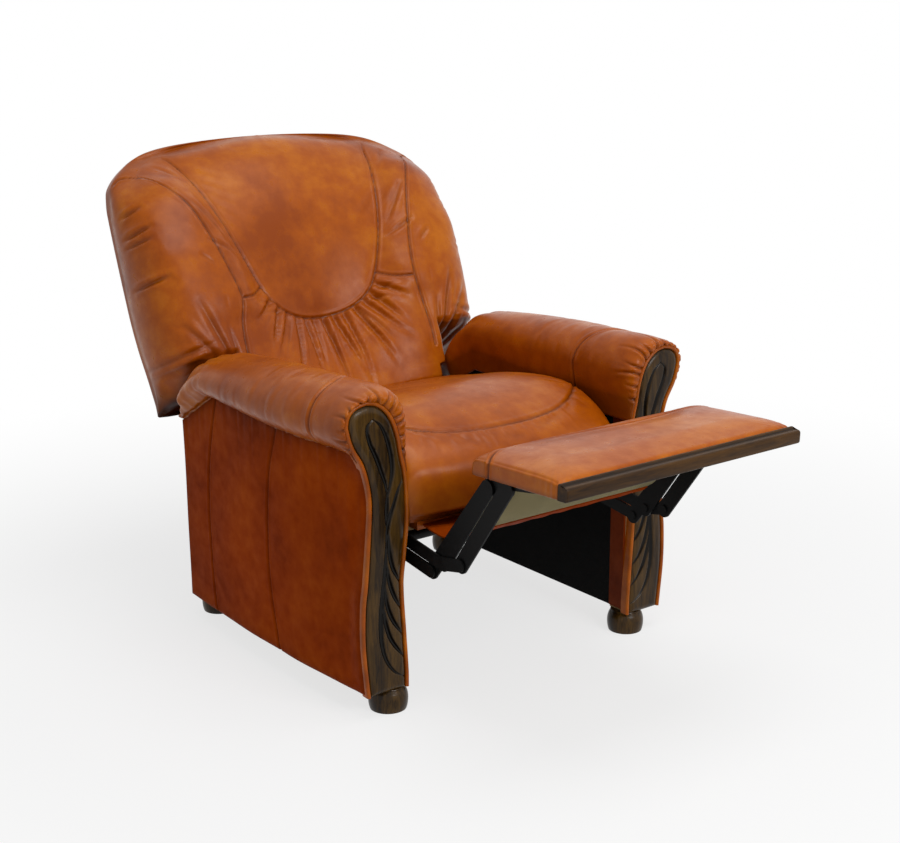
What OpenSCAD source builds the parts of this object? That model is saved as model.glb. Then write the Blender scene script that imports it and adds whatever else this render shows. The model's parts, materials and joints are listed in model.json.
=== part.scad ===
/* [Arms] */
// Distance from the chair's middle to the inner face of an arm
arm_inner = 272; // [262:1:300]
// Width of an arm box at its front end
arm_box_w = 86; // [76:1:110]
// How far the outer panel swells between its front and rear ends
arm_swell = 15; // [5:1:25]
// Length of an arm box behind its facing
arm_len = 625; // [600:1:680]
// Height at which the arm pad sits on the box
arm_h = 489; // [470:1:520]
// Height of the outer panel's lower edge
panel_clear = 65; // [55:1:90]
// Height of the inner lining's lower edge
lining_clear = 50; // [46:1:80]
// Thickness of the padded outer panel
panel_t = 5; // [3:0.5:8]
// Thickness of the black inner lining
lining_t = 3; // [2:0.5:5]
// Width of the leather strip at the front of the inner face
strip_w = 38; // [20:1:60]
// Thickness of the boards in the arm frames
board_t = 20; // [15:1:26]
// Depth of the front and rear posts
post_w = 40; // [30:1:44]

/* [Arm pads] */
// Height of the pad's ridge above the arm box at the front
pad_rise = 119; // [90:1:130]
// How far the pad swells past the outer panel
pad_overhang = 55; // [30:1:70]
// How far the pad swells inward past the arm's inner face
pad_inward = 14; // [8:1:15]
// How far the pad's inner edge laps down over the lining
pad_lap = 44; // [20:1:60]

/* [Facings] */
// Thickness of the carved wooden facing
facing_t = 20; // [15:1:26]
// Width of the leather welt round the facing
welt_w = 8; // [5:0.5:10]
// How far the welt stays behind the facing's front
welt_back = 5; // [2:0.5:8]
// Depth of the carving
carve_depth = 3; // [1:0.5:5]

/* [Feet] */
// Largest diameter of a turned foot
foot_d = 73; // [60:1:80]
// Height of a foot
foot_h = 44; // [36:1:50]
// Distance from the middle to the front feet
front_foot_x = 294; // [290:1:310]
// Distance from the middle to the rear feet
rear_foot_x = 301; // [295:1:320]
// Distance from the front feet back to the rear feet
foot_span = 600; // [560:1:620]

/* [Seat] */
// Height of the seat frame's top, where the cushion lies
seat_h = 346; // [340:1:352]
// Thickness of the seat frame's rails
seat_rail_t = 20; // [16:1:24]
// Width of the seat frame's rails
seat_rail_w = 26; // [20:1:27]
// Half width of the seat cushion
seat_half_w = 256; // [240:1:256]
// Height of the cushion's crown above the seat frame
seat_crown_h = 160; // [130:1:170]
// Number of seat springs
spring_count = 4; // [3:1:6]
// Diameter of the spring wire
wire_d = 4; // [3:0.5:5]

/* [Back] */
// Lean of the back from upright, in degrees
back_lean = 21; // [15:1:25]
// Length of the back up its rear face
back_len = 576; // [560:1:590]
// Half width of the back at the wings
back_half_w = 392; // [380:1:400]
// Thickness of the back at the ridge between panel and wing
back_depth = 172; // [160:1:180]
// Distance of the back's lower rear edge behind the front feet
back_root_y = 690; // [685:1:700]
// Height of the back's lower rear edge at the wings
back_root_z = 404; // [400:1:410]
// Thickness of the back frame's boards
back_board_t = 30; // [20:1:34]
// Width of the back frame's uprights and rails
upright_w = 34; // [26:1:40]

/* [Footrest] */
// Half width of the footrest
rest_half_w = 267; // [240:1:270]
// Depth of the upholstered part of the footrest
rest_len = 213; // [190:1:230]
// Thickness of the footrest board
rest_board_t = 10; // [8:1:12]
// Thickness of the footrest pad at its edges
rest_pad_t = 14; // [10:1:16]
// Rise of the pad's crown above its edges
rest_crown = 8; // [3:1:12]
// Depth of the wooden trim along the front edge
trim_w = 24; // [16:1:30]
// Upward tilt of the open footrest, in degrees
rest_tilt = 2.8; // [0:0.2:5]
// Distance of the footrest's rear edge in front of the front feet
rest_reach = 210; // [206:1:214]
// Height of the footrest's rear edge
rest_h = 510; // [506:1:514]

/* [Linkage] */
// Length of the rear and front links between their pivots
link_len = 160; // [150:1:170]
// Downward slope of the links when the footrest is open, in degrees
link_slope = 8.1; // [6:0.1:10]
// Width of the links
link_w = 24; // [20:1:25]
// Width of the long straps
strap_w2 = 31; // [26:1:32]
// Thickness of every steel plate
plate_t = 4; // [3:0.5:4]
// Side gap between two plates of the linkage
plate_gap = 1; // [1:0.1:1.4]
// Radius of a rivet's shank
rivet_r = 5; // [4:0.5:6]
// Radius of a rivet's head
rivet_head_r = 8.5; // [7:0.5:10]
// Running clearance of a rivet in its hole
rivet_play = 0.06; // [0.04:0.01:0.1]
// Diameter of the torque tube between the rear links
torque_d = 20; // [16:1:22]
// Height of the seat hinge
hinge_z = 330; // [328:1:330]
// Distance of the seat hinge behind the front feet
hinge_y = 480; // [476:1:484]
// Radius of the seat hinge pin
hinge_r = 6; // [5:0.5:8]
// Radius of a seat roller
roller_r = 10; // [8:0.5:11]

/* [Hidden] */

// Clearance between upholstery and what it lies on
seat_gap = 0.2;
// Side clearance between moving parts
side_gap = 0.5;
// Clearance of the back's lower edge round the seat hinge
swing_gap = 4;
// Largest radius of the seat cushion's rear end about the hinge
swing_r = 107;

// Arm box
arm_y0 = facing_t - 33;
arm_y1 = arm_y0 + arm_len;
arm_frame_x = arm_inner + lining_t + 1;
arm_outer = arm_inner + arm_box_w;

// Back root and the seat hinge in the back's own frame
back_top_y = back_root_y + back_len * sin(back_lean);
hinge_s = (hinge_y - back_root_y) * sin(back_lean) + (hinge_z - back_root_z) * cos(back_lean);
hinge_t = -(hinge_y - back_root_y) * cos(back_lean) + (hinge_z - back_root_z) * sin(back_lean);
back_low_s = -60;
back_low_half_w = 252;
back_board_t0 = 8;
back_board_t1 = back_board_t0 + back_board_t;
back_skin_t = 5;
back_rim = 40;
upright_x = back_low_half_w - 10 - upright_w;
back_frame_s0 = back_low_s + 8;
back_frame_s1 = 505;
wing_drop = 141 / 83;

// Footrest front and the middle of the whole chair
rest_front_y = -rest_reach - (rest_len + trim_w) * cos(rest_tilt);
mid_y = (back_top_y + rest_front_y) / 2;

// Linkage layers, from the seat plate inward
plate_x = 250;
link_x = plate_x - plate_gap - plate_t;
strap_x = link_x - plate_gap - plate_t;
bracket_x = strap_x - plate_gap - plate_t;
back_bracket_x = plate_x + plate_t + side_gap;
rail_x1 = bracket_x - 3;
rail_x0 = rail_x1 - seat_rail_w;
rest_bottom = -rest_pad_t - rest_board_t;
flap_half_w = 222;

// Linkage pivots as [y, z] when the footrest is open
rest_root = [-rest_reach, rest_h];
rest_pivot_in = 8;
rest_pivot_drop = 52;
rear_rest_pivot = rest_root + [
    -rest_pivot_in * cos(rest_tilt) - rest_pivot_drop * sin(rest_tilt),
    rest_pivot_in * sin(rest_tilt) - rest_pivot_drop * cos(rest_tilt)
];
strap_offset = [-50, 11];
link_offset = 40 * [-cos(35.5), sin(35.5)];
rear_low_pivot = [-68, 270];
rear_seat_pivot = rear_low_pivot + link_len * [cos(link_slope), sin(link_slope)];
front_seat_pivot = rear_seat_pivot + link_offset;
cross_pivot = rear_low_pivot + link_offset;
front_low_pivot = cross_pivot + strap_offset;
front_rest_pivot = rear_rest_pivot + strap_offset;
hinge = [hinge_y, hinge_z];
roller_z = 324;
roller_ys = [170, 330];
slide_travel = 55;
strap_nip = 0.04;

// Smooth step from 0 to 1
function ease(v) = let (c = min(1, max(0, v))) c * c * (3 - 2 * c);

// Slope at one key of a list of [position, value] keys
function key_slope(k, i) =
    let (a = max(0, i - 1), b = min(len(k) - 1, i + 1)) (k[b][1] - k[a][1]) / (k[b][0] - k[a][0]);

// Number of the key that starts the stretch holding v
function key_index(k, v, i = 0) = i >= len(k) - 2 || v < k[i + 1][0] ? i : key_index(k, v, i + 1);

// Smooth curve through the keys
function curve(k, v) =
    let (
        i = key_index(k, v),
        h = k[i + 1][0] - k[i][0],
        t = min(1, max(0, (v - k[i][0]) / h)),
        a = k[i][1],
        b = k[i + 1][1],
        da = key_slope(k, i) * h,
        db = key_slope(k, i + 1) * h
    )
    a + t * (da + t * (3 * (b - a) - 2 * da - db + t * (2 * (a - b) + da + db)));

// Curve whose keys are thousandths of a length and of a size
function shape(k, v, length, size) = size / 1000 * curve(k, 1000 * v / length);

// Middle of a ring
function ring_mid(r) = (r[0] + r[floor(len(r) / 2)]) / 2;

// Closed skin over a list of rings with equal counts of points, each end closed round a middle point
module loft(rings, mid0 = undef, mid1 = undef) {
    n = len(rings[0]);
    m = len(rings);
    last = (m - 1) * n;
    ends = [is_undef(mid0) ? ring_mid(rings[0]) : mid0, is_undef(mid1) ? ring_mid(rings[m - 1]) : mid1];
    polyhedron(
        points = concat([for (r = rings) for (p = r) p], ends),
        faces = concat(
            [for (j = [0 : n - 1]) [j, (j + 1) % n, last + n]],
            [for (j = [0 : n - 1]) [last + (j + 1) % n, last + j, last + n + 1]],
            [for (i = [0 : m - 2]) for (j = [0 : n - 1]) [i * n + j, (i + 1) * n + j, (i + 1) * n + (j + 1) % n]],
            [for (i = [0 : m - 2]) for (j = [0 : n - 1]) [i * n + j, (i + 1) * n + (j + 1) % n, i * n + (j + 1) % n]]
        )
    );
}

// Ring whose right half is given is closed by its mirror image
function mirrored(half) = concat(half, [for (i = [len(half) - 2 : -1 : 1]) [-half[i][0], half[i][1]]]);

// Moves the chair so that its middle stands on the origin
module placed() {
    translate([0, -mid_y, 0]) children();
}

// Draws on the sitter's left, or mirrored on the right
module on_side(side) {
    mirror([side < 0 ? 1 : 0, 0, 0]) placed() children();
}

// Draws on both sides
module on_both() {
    on_side(1) children();
    on_side(-1) children();
}

// The back's frame: x, distance up the rear face, thickness forward
module on_back() {
    placed() translate([0, back_root_y, back_root_z]) rotate([90 - back_lean, 0, 0]) children();
}

// The footrest's frame: x, minus the distance forward, height over the rear edge
module on_footrest() {
    placed() translate([0, -rest_reach, rest_h]) rotate([-rest_tilt, 0, 0]) children();
}

// Upright plate in the side view, from x0 outward
module side_plate(x0, t) {
    translate([x0, 0, 0]) rotate([90, 0, 90]) linear_extrude(t) children();
}

// Flat strap with round ends that stand a hair proud of its sides
module strap(a, b, w) {
    length = norm(b - a);
    side = w - strap_nip;
    translate(a) circle(w / 2, $fn = 48);
    translate(b) circle(w / 2, $fn = 48);
    translate(a) rotate(atan2(b[1] - a[1], b[0] - a[0])) translate([0, -side / 2]) square([length, side]);
}

module hole(p, r = rivet_r + rivet_play) {
    translate(p) circle(r, $fn = 48);
}

// Rod across the chair at a point of the side view
module cross_rod(p, x0, x1, r) {
    translate([x0, p[0], p[1]]) rotate([0, 90, 0]) cylinder(h = x1 - x0, r = r, $fn = 48);
}

// Rivet from the plate that carries it through the next plate inward
module rivet(p, carrier_x) {
    end_x = carrier_x - plate_gap - plate_t - 0.3;
    cross_rod(p, end_x - 2, carrier_x + plate_t, rivet_r);
    cross_rod(p, end_x - 2, end_x, rivet_head_r);
}

// Bun foot turned about its own axis
module foot(x, y) {
    r = foot_d / 2;
    placed() translate([x, y, 0]) rotate_extrude($fn = 64) polygon(concat(
        [[0, 0]],
        [for (a = [-40 : 10 : 50]) [r - 12 + 12 * cos(a), foot_h * 0.43 + foot_h * 0.43 * sin(a) / sin(40) * (a < 0 ? 1 : 0.82)]],
        [[r - 7, foot_h - 3], [r - 6, foot_h - 1.5], [r - 7, foot_h], [0, foot_h]]
    ));
}

module foot_front_left() color("#3b2416") foot(front_foot_x, 0);
module foot_front_right() color("#3b2416") foot(-front_foot_x, 0);
module foot_rear_left() color("#3b2416") foot(rear_foot_x, foot_span);
module foot_rear_right() color("#3b2416") foot(-rear_foot_x, foot_span);

// Outer face of the side panel, convex in plan
swell_keys = [[0, 0], [250, 800], [405, 1000], [600, 950], [1000, 350]];
function panel_x(y) = arm_outer + shape(swell_keys, y - arm_y0, arm_len, arm_swell);

// Underside of the arm pad along the arm: level, a slight rise, then down to the rear
pad_rear_y = arm_y1 - 14;
function pad_under(y) = lookup(y, [
    [arm_y0 - 60, arm_h],
    [arm_y0 + 0.38 * arm_len, arm_h],
    [arm_y0 + 0.75 * arm_len, arm_h + 13],
    [pad_rear_y, arm_h - 66],
    [pad_rear_y + 60, arm_h - 98]
]);

// Box in the arm frame, cut to the slope under the pad
module arm_block(y0, y1, z0, z1) {
    difference() {
        translate([arm_frame_x, y0, z0]) cube([arm_outer - panel_t - arm_frame_x, y1 - y0, z1 - z0]);
        side_plate(arm_frame_x - 1, arm_box_w) polygon([
            [y0 - 1, pad_under(y0 - 1)],
            [y1 + 1, pad_under(y1 + 1)],
            [y1 + 1, z1 + 200],
            [y0 - 1, z1 + 200]
        ]);
    }
}

module posts_front() color("#c8a878") on_both() arm_block(arm_y0, arm_y0 + post_w, foot_h, arm_h);
module posts_rear() color("#c8a878") on_both() arm_block(arm_y1 - panel_t - post_w, arm_y1 - panel_t, foot_h, arm_h);

module arm_rails_top() color("#c8a878") on_both()
    translate([arm_frame_x, arm_y0 + post_w, arm_h - board_t])
        cube([arm_outer - panel_t - arm_frame_x, 0.66 * arm_len, board_t]);

module arm_rails_bottom() color("#c8a878") on_both()
    translate([arm_frame_x, arm_y0 + post_w, panel_clear])
        cube([arm_outer - panel_t - arm_frame_x, arm_len - 2 * post_w - panel_t, board_t + 10]);

// Outer panel: a curved sheet that turns in behind the rear post
module side_panel() {
    steps = 24;
    ys = [for (i = [0 : steps]) arm_y0 + arm_len * i / steps];
    intersection() {
        translate([0, 0, panel_clear]) linear_extrude(arm_h) polygon(concat(
            [for (y = ys) [panel_x(y), y]],
            [[arm_frame_x, arm_y1], [arm_frame_x, arm_y1 - panel_t]],
            [for (i = [steps : -1 : 0]) [panel_x(ys[i]) - panel_t, min(ys[i], arm_y1 - panel_t)]]
        ));
        side_plate(arm_inner, 200) polygon([
            [arm_y0 - 5, 0],
            [arm_y1 + 5, 0],
            [arm_y1 + 5, pad_under(arm_y1 + 5)],
            [pad_rear_y, pad_under(pad_rear_y)],
            [arm_y0 + 0.75 * arm_len, pad_under(arm_y0 + 0.75 * arm_len)],
            [arm_y0 + 0.38 * arm_len, arm_h],
            [arm_y0 - 5, arm_h]
        ]);
    }
}

module side_panel_left() color("#a8501c") on_side(1) side_panel();
module side_panel_right() color("#a8501c") on_side(-1) side_panel();

module lining_sheet(y0, y1) {
    side_plate(arm_inner, lining_t) polygon([
        [y0, lining_clear],
        [y1, lining_clear],
        [y1, pad_under(y1)],
        [max(y0, arm_y0 + 0.75 * arm_len), pad_under(max(y0, arm_y0 + 0.75 * arm_len))],
        [max(y0, arm_y0 + 0.38 * arm_len), min(pad_under(y0), arm_h)],
        [y0, min(pad_under(y0), arm_h)]
    ]);
}

module arm_lining_left() color("#1c1a18") on_side(1) lining_sheet(arm_y0 + strip_w, arm_y1 - panel_t);
module arm_lining_right() color("#1c1a18") on_side(-1) lining_sheet(arm_y0 + strip_w, arm_y1 - panel_t);

module arm_strips() color("#a8501c") on_both()
    translate([arm_inner - 1, arm_y0, lining_clear]) cube([lining_t + 2, strip_w, arm_h - pad_lap - lining_clear - 1]);

// Ridge of the arm pad: level, falling a little, then round and down to the rear
ridge_keys = [[0, 1000], [250, 960], [500, 900], [720, 800], [820, 690], [880, 450], [940, -60], [1000, -540]];
function pad_ridge(y) = arm_h + shape(ridge_keys, y - arm_y0, pad_rear_y - arm_y0, pad_rise);

// One ring of the arm pad, swollen outward and inward over the arm box
function pad_ring(y, grow) =
    let (
        z0 = pad_under(y) + seat_gap,
        z1 = max(pad_ridge(y), z0 + 16) - (1 - grow) * 16,
        h = z1 - z0,
        x_top = (arm_inner + panel_x(y)) / 2 + 20,
        x_out = panel_x(y) + 2 + (pad_overhang - 2) * min(1, h / 60) * grow,
        x_in = arm_inner - pad_inward * min(1, h / 60),
        lap = pad_lap - 14 * (1 - grow),
        base_out = panel_x(y) + 1
    )
    concat(
        [[base_out, y, z0]],
        [for (a = [-50 : 20 : 90])
            [x_top + (x_out - x_top) * cos(a), y, z0 + h * 0.42 + (a < 0 ? 0.42 : 0.58) * h * sin(a) / (a < 0 ? sin(50) * 1.06 : 1)]],
        [for (a = [110 : 20 : 170]) [x_top + (x_top - x_in) * cos(a), y, z0 + h * 0.42 + 0.58 * h * sin(a)]],
        [
            [x_in, y, z0 + h * 0.3],
            [x_in + 1, y, z0 + h * 0.12],
            [arm_inner - 8, y, z0 - lap * 0.3],
            [arm_inner - 7, y, z0 - lap * 0.8],
            [arm_inner - 5, y, z0 - lap],
            [arm_inner - 1.4, y, z0 - lap],
            [arm_inner - 1.4, y, z0]
        ]
    );

// Point over the pad's inner lap that an end closes round
function pad_mid(y) = [arm_inner - 4.5, y, pad_under(y) + 6];

// Welt outline round the facing, open at the foot
module facing_shadow(grow) {
    translate([0, arm_y0 + seat_gap, 0]) rotate([90, 0, 0]) linear_extrude(60) polygon(facing_outline(grow));
}

module arm_pad() {
    y_front = arm_y0 - facing_t + 3;
    ys = concat(
        [y_front, y_front + 3, y_front + 9, arm_y0],
        [for (i = [1 : 11]) arm_y0 + i / 11 * 0.75 * arm_len],
        [for (i = [0 : 7]) arm_y0 + 0.79 * arm_len + i * (pad_rear_y - arm_y0 - 0.79 * arm_len) / 7]
    );
    grows = [0.72, 0.88, 0.97];
    difference() {
        loft([for (i = [len(ys) - 1 : -1 : 0]) pad_ring(ys[i], i < 3 ? grows[i] : 1)], pad_mid(pad_rear_y), pad_mid(y_front));
        facing_shadow(welt_w + seat_gap);
    }
}

module arm_pad_left() color("#b5581f") on_side(1) arm_pad();
module arm_pad_right() color("#b5581f") on_side(-1) arm_pad();

// Facing outline: keys are thousandths of the arm height and of the box width from the inner face
facing_outer_keys = [
    [90, 915], [135, 942], [288, 1017], [434, 1000], [528, 930], [716, 837], [810, 826], [924, 907], [1040, 1190],
    [1080, 1326]
];
facing_inner_keys = [
    [90, 47], [151, 47], [294, 93], [495, 151], [591, 93], [732, 0], [914, 35], [1031, 116], [1080, 163]
];
facing_z0 = 44;
facing_z1 = 1.08 * arm_h;
facing_top = 0.094 * arm_h;

function facing_x(keys, z) = arm_inner + shape(keys, z, arm_h, arm_box_w);

// Outline grown by g to the sides and top
function facing_outline(g) =
    let (
        zs = [for (i = [0 : 20]) facing_z0 + (facing_z1 - facing_z0) * i / 20],
        xo = facing_x(facing_outer_keys, facing_z1),
        xi = facing_x(facing_inner_keys, facing_z1)
    )
    concat(
        [for (z = zs) [facing_x(facing_outer_keys, z) + g, z]],
        [for (a = [10 : 10 : 170])
            [(xo + xi) / 2 + ((xo - xi) / 2 + g) * cos(a), facing_z1 + (facing_top + g) * sin(a)]],
        [for (i = [20 : -1 : 0]) [facing_x(facing_inner_keys, zs[i]) - g, zs[i]]]
    );

// Leaf with pointed ends from a to b, bowed to one side
function leaf(a, b, w, bow) =
    let (
        d = b - a,
        n = [-d[1], d[0]] / norm(d),
        mid = [for (i = [0 : 10]) a + d * i / 10 + n * bow * sin(18 * i)]
    )
    concat(
        [for (i = [0 : 10]) mid[i] + n * w / 2 * sin(18 * i)],
        [for (i = [9 : -1 : 1]) mid[i] - n * w / 2 * sin(18 * i)]
    );

// Carving: a long loop at the head, a stem and leaves that sweep inward to the foot
module carving() {
    fx = facing_x(facing_inner_keys, arm_h * 0.75) + arm_box_w * 0.42;
    difference() {
        polygon(leaf([fx + 6, arm_h * 0.7], [fx + 26, arm_h * 1.14], 34, 4));
        polygon(leaf([fx + 7, arm_h * 0.74], [fx + 25, arm_h * 1.115], 20, 4));
    }
    polygon(leaf([fx - 4, arm_h * 0.5], [fx + 4, arm_h * 0.9], 7, -12));
    polygon(leaf([fx + 14, arm_h * 0.12], [fx - 2, arm_h * 0.66], 8, -10));
    for (i = [0 : 3]) {
        z = arm_h * (0.16 + 0.115 * i);
        polygon(leaf([fx - 20, z - 12], [fx + 8, z + 62], 9, 7));
    }
}

module arm_facing() {
    difference() {
        translate([0, arm_y0, 0]) rotate([90, 0, 0]) linear_extrude(facing_t) polygon(facing_outline(0));
        translate([0, arm_y0 - facing_t + carve_depth, 0]) rotate([90, 0, 0]) linear_extrude(carve_depth + 5) carving();
    }
}

module arm_facing_left() color("#3b2416") on_side(1) arm_facing();
module arm_facing_right() color("#3b2416") on_side(-1) arm_facing();

module facing_welt() {
    translate([0, arm_y0, 0]) rotate([90, 0, 0]) linear_extrude(facing_t - welt_back) difference() {
        polygon(facing_outline(welt_w));
        polygon(facing_outline(seat_gap));
        translate([arm_inner - 60, facing_z0 - 5]) square([arm_box_w + 120, 5.5]);
    }
}

module facing_welt_left() color("#8a3f14") on_side(1) facing_welt();
module facing_welt_right() color("#8a3f14") on_side(-1) facing_welt();

module base_rail_rear() color("#c8a878") placed()
    translate([-arm_inner, arm_y1 - panel_t - post_w, panel_clear]) cube([2 * arm_inner, board_t, 60]);

cross_tube_at = [440, 285];
module base_cross_tube() color("#202022") placed() cross_rod(cross_tube_at, -arm_inner, arm_inner, 12);

// Channel that a seat's rollers run in, open towards the seat
module slide_channel() {
    y0 = roller_ys[0] - slide_travel - roller_r;
    y1 = roller_ys[1] + slide_travel / 2 + roller_r;
    half_h = roller_r + 0.25;
    difference() {
        translate([arm_inner - 12, y0, roller_z - half_h - 3]) cube([12, y1 - y0, 2 * half_h + 6]);
        translate([arm_inner - 13, y0 - 1, roller_z - half_h]) cube([11, y1 - y0 + 2, 2 * half_h]);
    }
}

module slide_channel_left() color("#202022") on_side(1) slide_channel();
module slide_channel_right() color("#202022") on_side(-1) slide_channel();

// Seat frame
seat_y0 = -10;
seat_y1 = 500;
seat_z0 = seat_h - seat_rail_t;

module seat_rail_side() {
    translate([rail_x0, seat_y0 + 40, seat_z0]) cube([seat_rail_w, seat_y1 - seat_y0 - 70, seat_rail_t]);
}

module seat_rail_left() color("#c8a878") on_side(1) seat_rail_side();
module seat_rail_right() color("#c8a878") on_side(-1) seat_rail_side();

module seat_rail_front() color("#a8501c") placed()
    translate([-rail_x1, seat_y0, seat_z0]) cube([2 * rail_x1, 40, seat_rail_t]);

module seat_rail_rear() color("#c8a878") placed()
    translate([-rail_x1, seat_y1 - 30, seat_z0]) cube([2 * rail_x1, 30, seat_rail_t]);

// Zigzag spring wire between the front and rear rails
spring_waves = 6;
spring_swing = 22;
function spring_points(x) = concat(
    [[x, seat_y0 + 40]],
    [for (i = [0 : 6 * spring_waves])
        [x + spring_swing * sin(60 * i), seat_y0 + 40 + wire_d + (seat_y1 - seat_y0 - 70 - 2 * wire_d) * i / (6 * spring_waves)]],
    [[x, seat_y1 - 30]]
);

module wire(points, z) {
    n = len(points);
    loft([for (i = [0 : n - 1])
        let (
            d = i == 0 || i == n - 1 ? [0, 1] : points[i + 1] - points[i - 1],
            u = [d[1], -d[0]] / norm(d)
        )
        [for (k = [0 : 5]) [
            points[i][0] + u[0] * wire_d / 2 * cos(60 * k),
            points[i][1] + u[1] * wire_d / 2 * cos(60 * k),
            z + wire_d / 2 * sin(60 * k)
        ]]
    ]);
}

module seat_springs() color("#8c8c90") placed()
    for (i = [0 : spring_count - 1])
        wire(spring_points(rail_x0 * (2 * (i + 0.5) / spring_count - 1)), seat_h - seat_rail_t / 2);

// Top of the seat cushion from front to rear: thousandths of the seat depth and of the crown
seat_front_y = -20;
seat_rear_y = hinge_y + swing_r * cos(12);
seat_top_keys = [
    [0, 50], [14, 250], [26, 490], [42, 600], [80, 745], [122, 850], [182, 950], [246, 1000], [398, 956], [640, 744],
    [880, 531], [1000, 300]
];
function seat_top(y) =
    min(
        seat_h + shape(seat_top_keys, y - seat_front_y, seat_rear_y - seat_front_y, seat_crown_h),
        y < hinge_y ? 1000 : hinge_z + sqrt(max(1, swing_r * swing_r - (y - hinge_y) * (y - hinge_y)))
    );

// Half ring of the cushion: rounded top edge, drawn-in side and flat underside
function seat_ring(y) =
    let (
        z0 = seat_h + seat_gap,
        z1 = max(seat_top(y), z0 + 4),
        w = seat_half_w - 6 * ease((y - hinge_y + 70) / 40),
        r = min(42, (z1 - z0) * 0.6),
        tuck = 5 * ease((z1 - z0) / 80),
        half = concat(
            [for (f = [0, 0.3, 0.6, 0.85]) [(w - r) * f, z1 + 5 * (1 - f * f) * ease((hinge_y - y) / 60)]],
            [for (a = [90 : -18 : 0]) [w - r + r * cos(a), z1 - r + r * sin(a)]],
            [[w - tuck, z0 + 0.5 * (z1 - r - z0)], [w - tuck / 2, z0 + 0.2 * (z1 - r - z0)]],
            [[w - 4, z0], [w / 2, z0], [0, z0]]
        )
    )
    [for (p = mirrored(half)) [
        p[0],
        y - 30 * (1 - p[0] * p[0] / (w * w)) * (1 - ease((y - seat_front_y) / 110)),
        p[1]
    ]];

module seat_cushion() color("#b5581f") placed() {
    ys = concat(
        [for (d = [0, 5, 10, 16, 24, 36, 50, 66, 84, 104, 130, 160, 200, 250, 310, 370, 430, 470]) seat_front_y + d],
        [for (a = [75 : -10.5 : 12]) hinge_y + swing_r * cos(a)]
    );
    loft([for (y = ys) seat_ring(y)]);
}

// Seat plate: carries the link pivots, the rollers, the frame flange and the back hinge
module seat_plate() {
    side_plate(plate_x, plate_t) difference() {
        union() {
            strap(front_seat_pivot, hinge, 30);
            strap(rear_seat_pivot, front_seat_pivot, 30);
            polygon([rear_seat_pivot + [0, -15], rear_seat_pivot + [90, 12], front_seat_pivot + [120, 5], front_seat_pivot]);
        }
        hole(rear_seat_pivot);
        hole(front_seat_pivot);
        hole(hinge, hinge_r + rivet_play);
    }
    translate([rail_x0, 125, seat_z0 - plate_t]) cube([plate_x + 1 - rail_x0, 330, plate_t]);
}

module seat_plate_left() color("#202022") on_side(1) seat_plate();
module seat_plate_right() color("#202022") on_side(-1) seat_plate();

module seat_rollers() color("#2a2a2a") on_both() for (y = roller_ys) {
    cross_rod([y, roller_z], plate_x + plate_t, arm_inner - 10, 4);
    cross_rod([y, roller_z], arm_inner - 10.5, arm_inner - 2.5, roller_r);
}

module hinge_pins() color("#9a9a9e") on_both() {
    cross_rod(hinge, plate_x - 3, back_bracket_x + plate_t + 0.3, hinge_r);
    cross_rod(hinge, plate_x - 3, plate_x, hinge_r + 4);
    cross_rod(hinge, back_bracket_x + plate_t + 0.3, back_bracket_x + plate_t + 3.3, hinge_r + 4);
}

module pivot_rivets() color("#9a9a9e") on_both() for (p = [rear_seat_pivot, front_seat_pivot]) {
    cross_rod(p, plate_x + plate_t, plate_x + plate_t + 2, rivet_head_r);
    rivet(p, plate_x);
}

// Leather flap with canvas below, from the seat frame up to the footrest
flap_t = 4;
flap_path = [
    [seat_y0 - seat_gap, seat_z0 + 8], [-60, 328], [-107, 330], [-132, 340], [-152, 362], [-176, 420],
    [-rest_reach + 4, rest_h + rest_bottom - 3]
];
module leg_flap() color("#cfc4a2") placed() side_plate(-flap_half_w, 2 * flap_half_w)
    polygon(concat(flap_path, [for (i = [len(flap_path) - 1 : -1 : 0]) flap_path[i] - (i < 3 ? [0, flap_t] : [flap_t, 1.5])]));

// Half width of the back up its rear face
back_width_keys = [
    [0, 957], [139, 974], [260, 992], [390, 1000], [746, 997], [799, 987], [835, 972], [877, 921], [911, 855],
    [938, 791], [965, 691], [983, 548], [995, 332], [1000, 150]
];
function back_half(s) = s < 0 ? back_low_half_w : shape(back_width_keys, s, back_len, back_half_w);

// Thickness at the middle, over the head panel's seam, at the wing's seam and at the wing's front corner
back_mid_keys = [
    [-104, 840], [0, 814], [87, 744], [174, 651], [253, 576], [347, 605], [521, 640], [694, 605], [816, 500], [910, 372],
    [965, 221], [1000, 35]
];
back_head_keys = [
    [-104, 880], [87, 860], [174, 802], [253, 744], [312, 721], [387, 744], [523, 744], [661, 674], [795, 512],
    [910, 238], [965, 35], [1000, 24]
];
back_ridge_keys = [
    [-104, 930], [0, 965], [87, 988], [253, 965], [345, 1000], [458, 948], [587, 890], [719, 791], [813, 581],
    [868, 291], [920, 140], [965, 47], [1000, 24]
];
back_wing_keys = [[-104, 900], [0, 820], [521, 814], [642, 669], [747, 512], [835, 233], [885, 128], [965, 29], [1000, 18]];

// Half widths of the head panel's seam and of the wing's seam
head_seam_keys = [[0, 286], [312, 286], [387, 365], [523, 441], [661, 505], [795, 564], [910, 625], [965, 691]];
wing_seam_keys = [[-104, 602], [153, 587], [253, 574], [345, 551], [458, 577], [587, 628], [719, 699], [813, 791], [870, 830]];

// Lower front of the back stays outside a circle round the seat hinge
function swing_limit(s) =
    let (r = swing_r + swing_gap + 1, d = s - hinge_s)
    d > r ? 1000 : hinge_t - sqrt(r * r - d * d);

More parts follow.
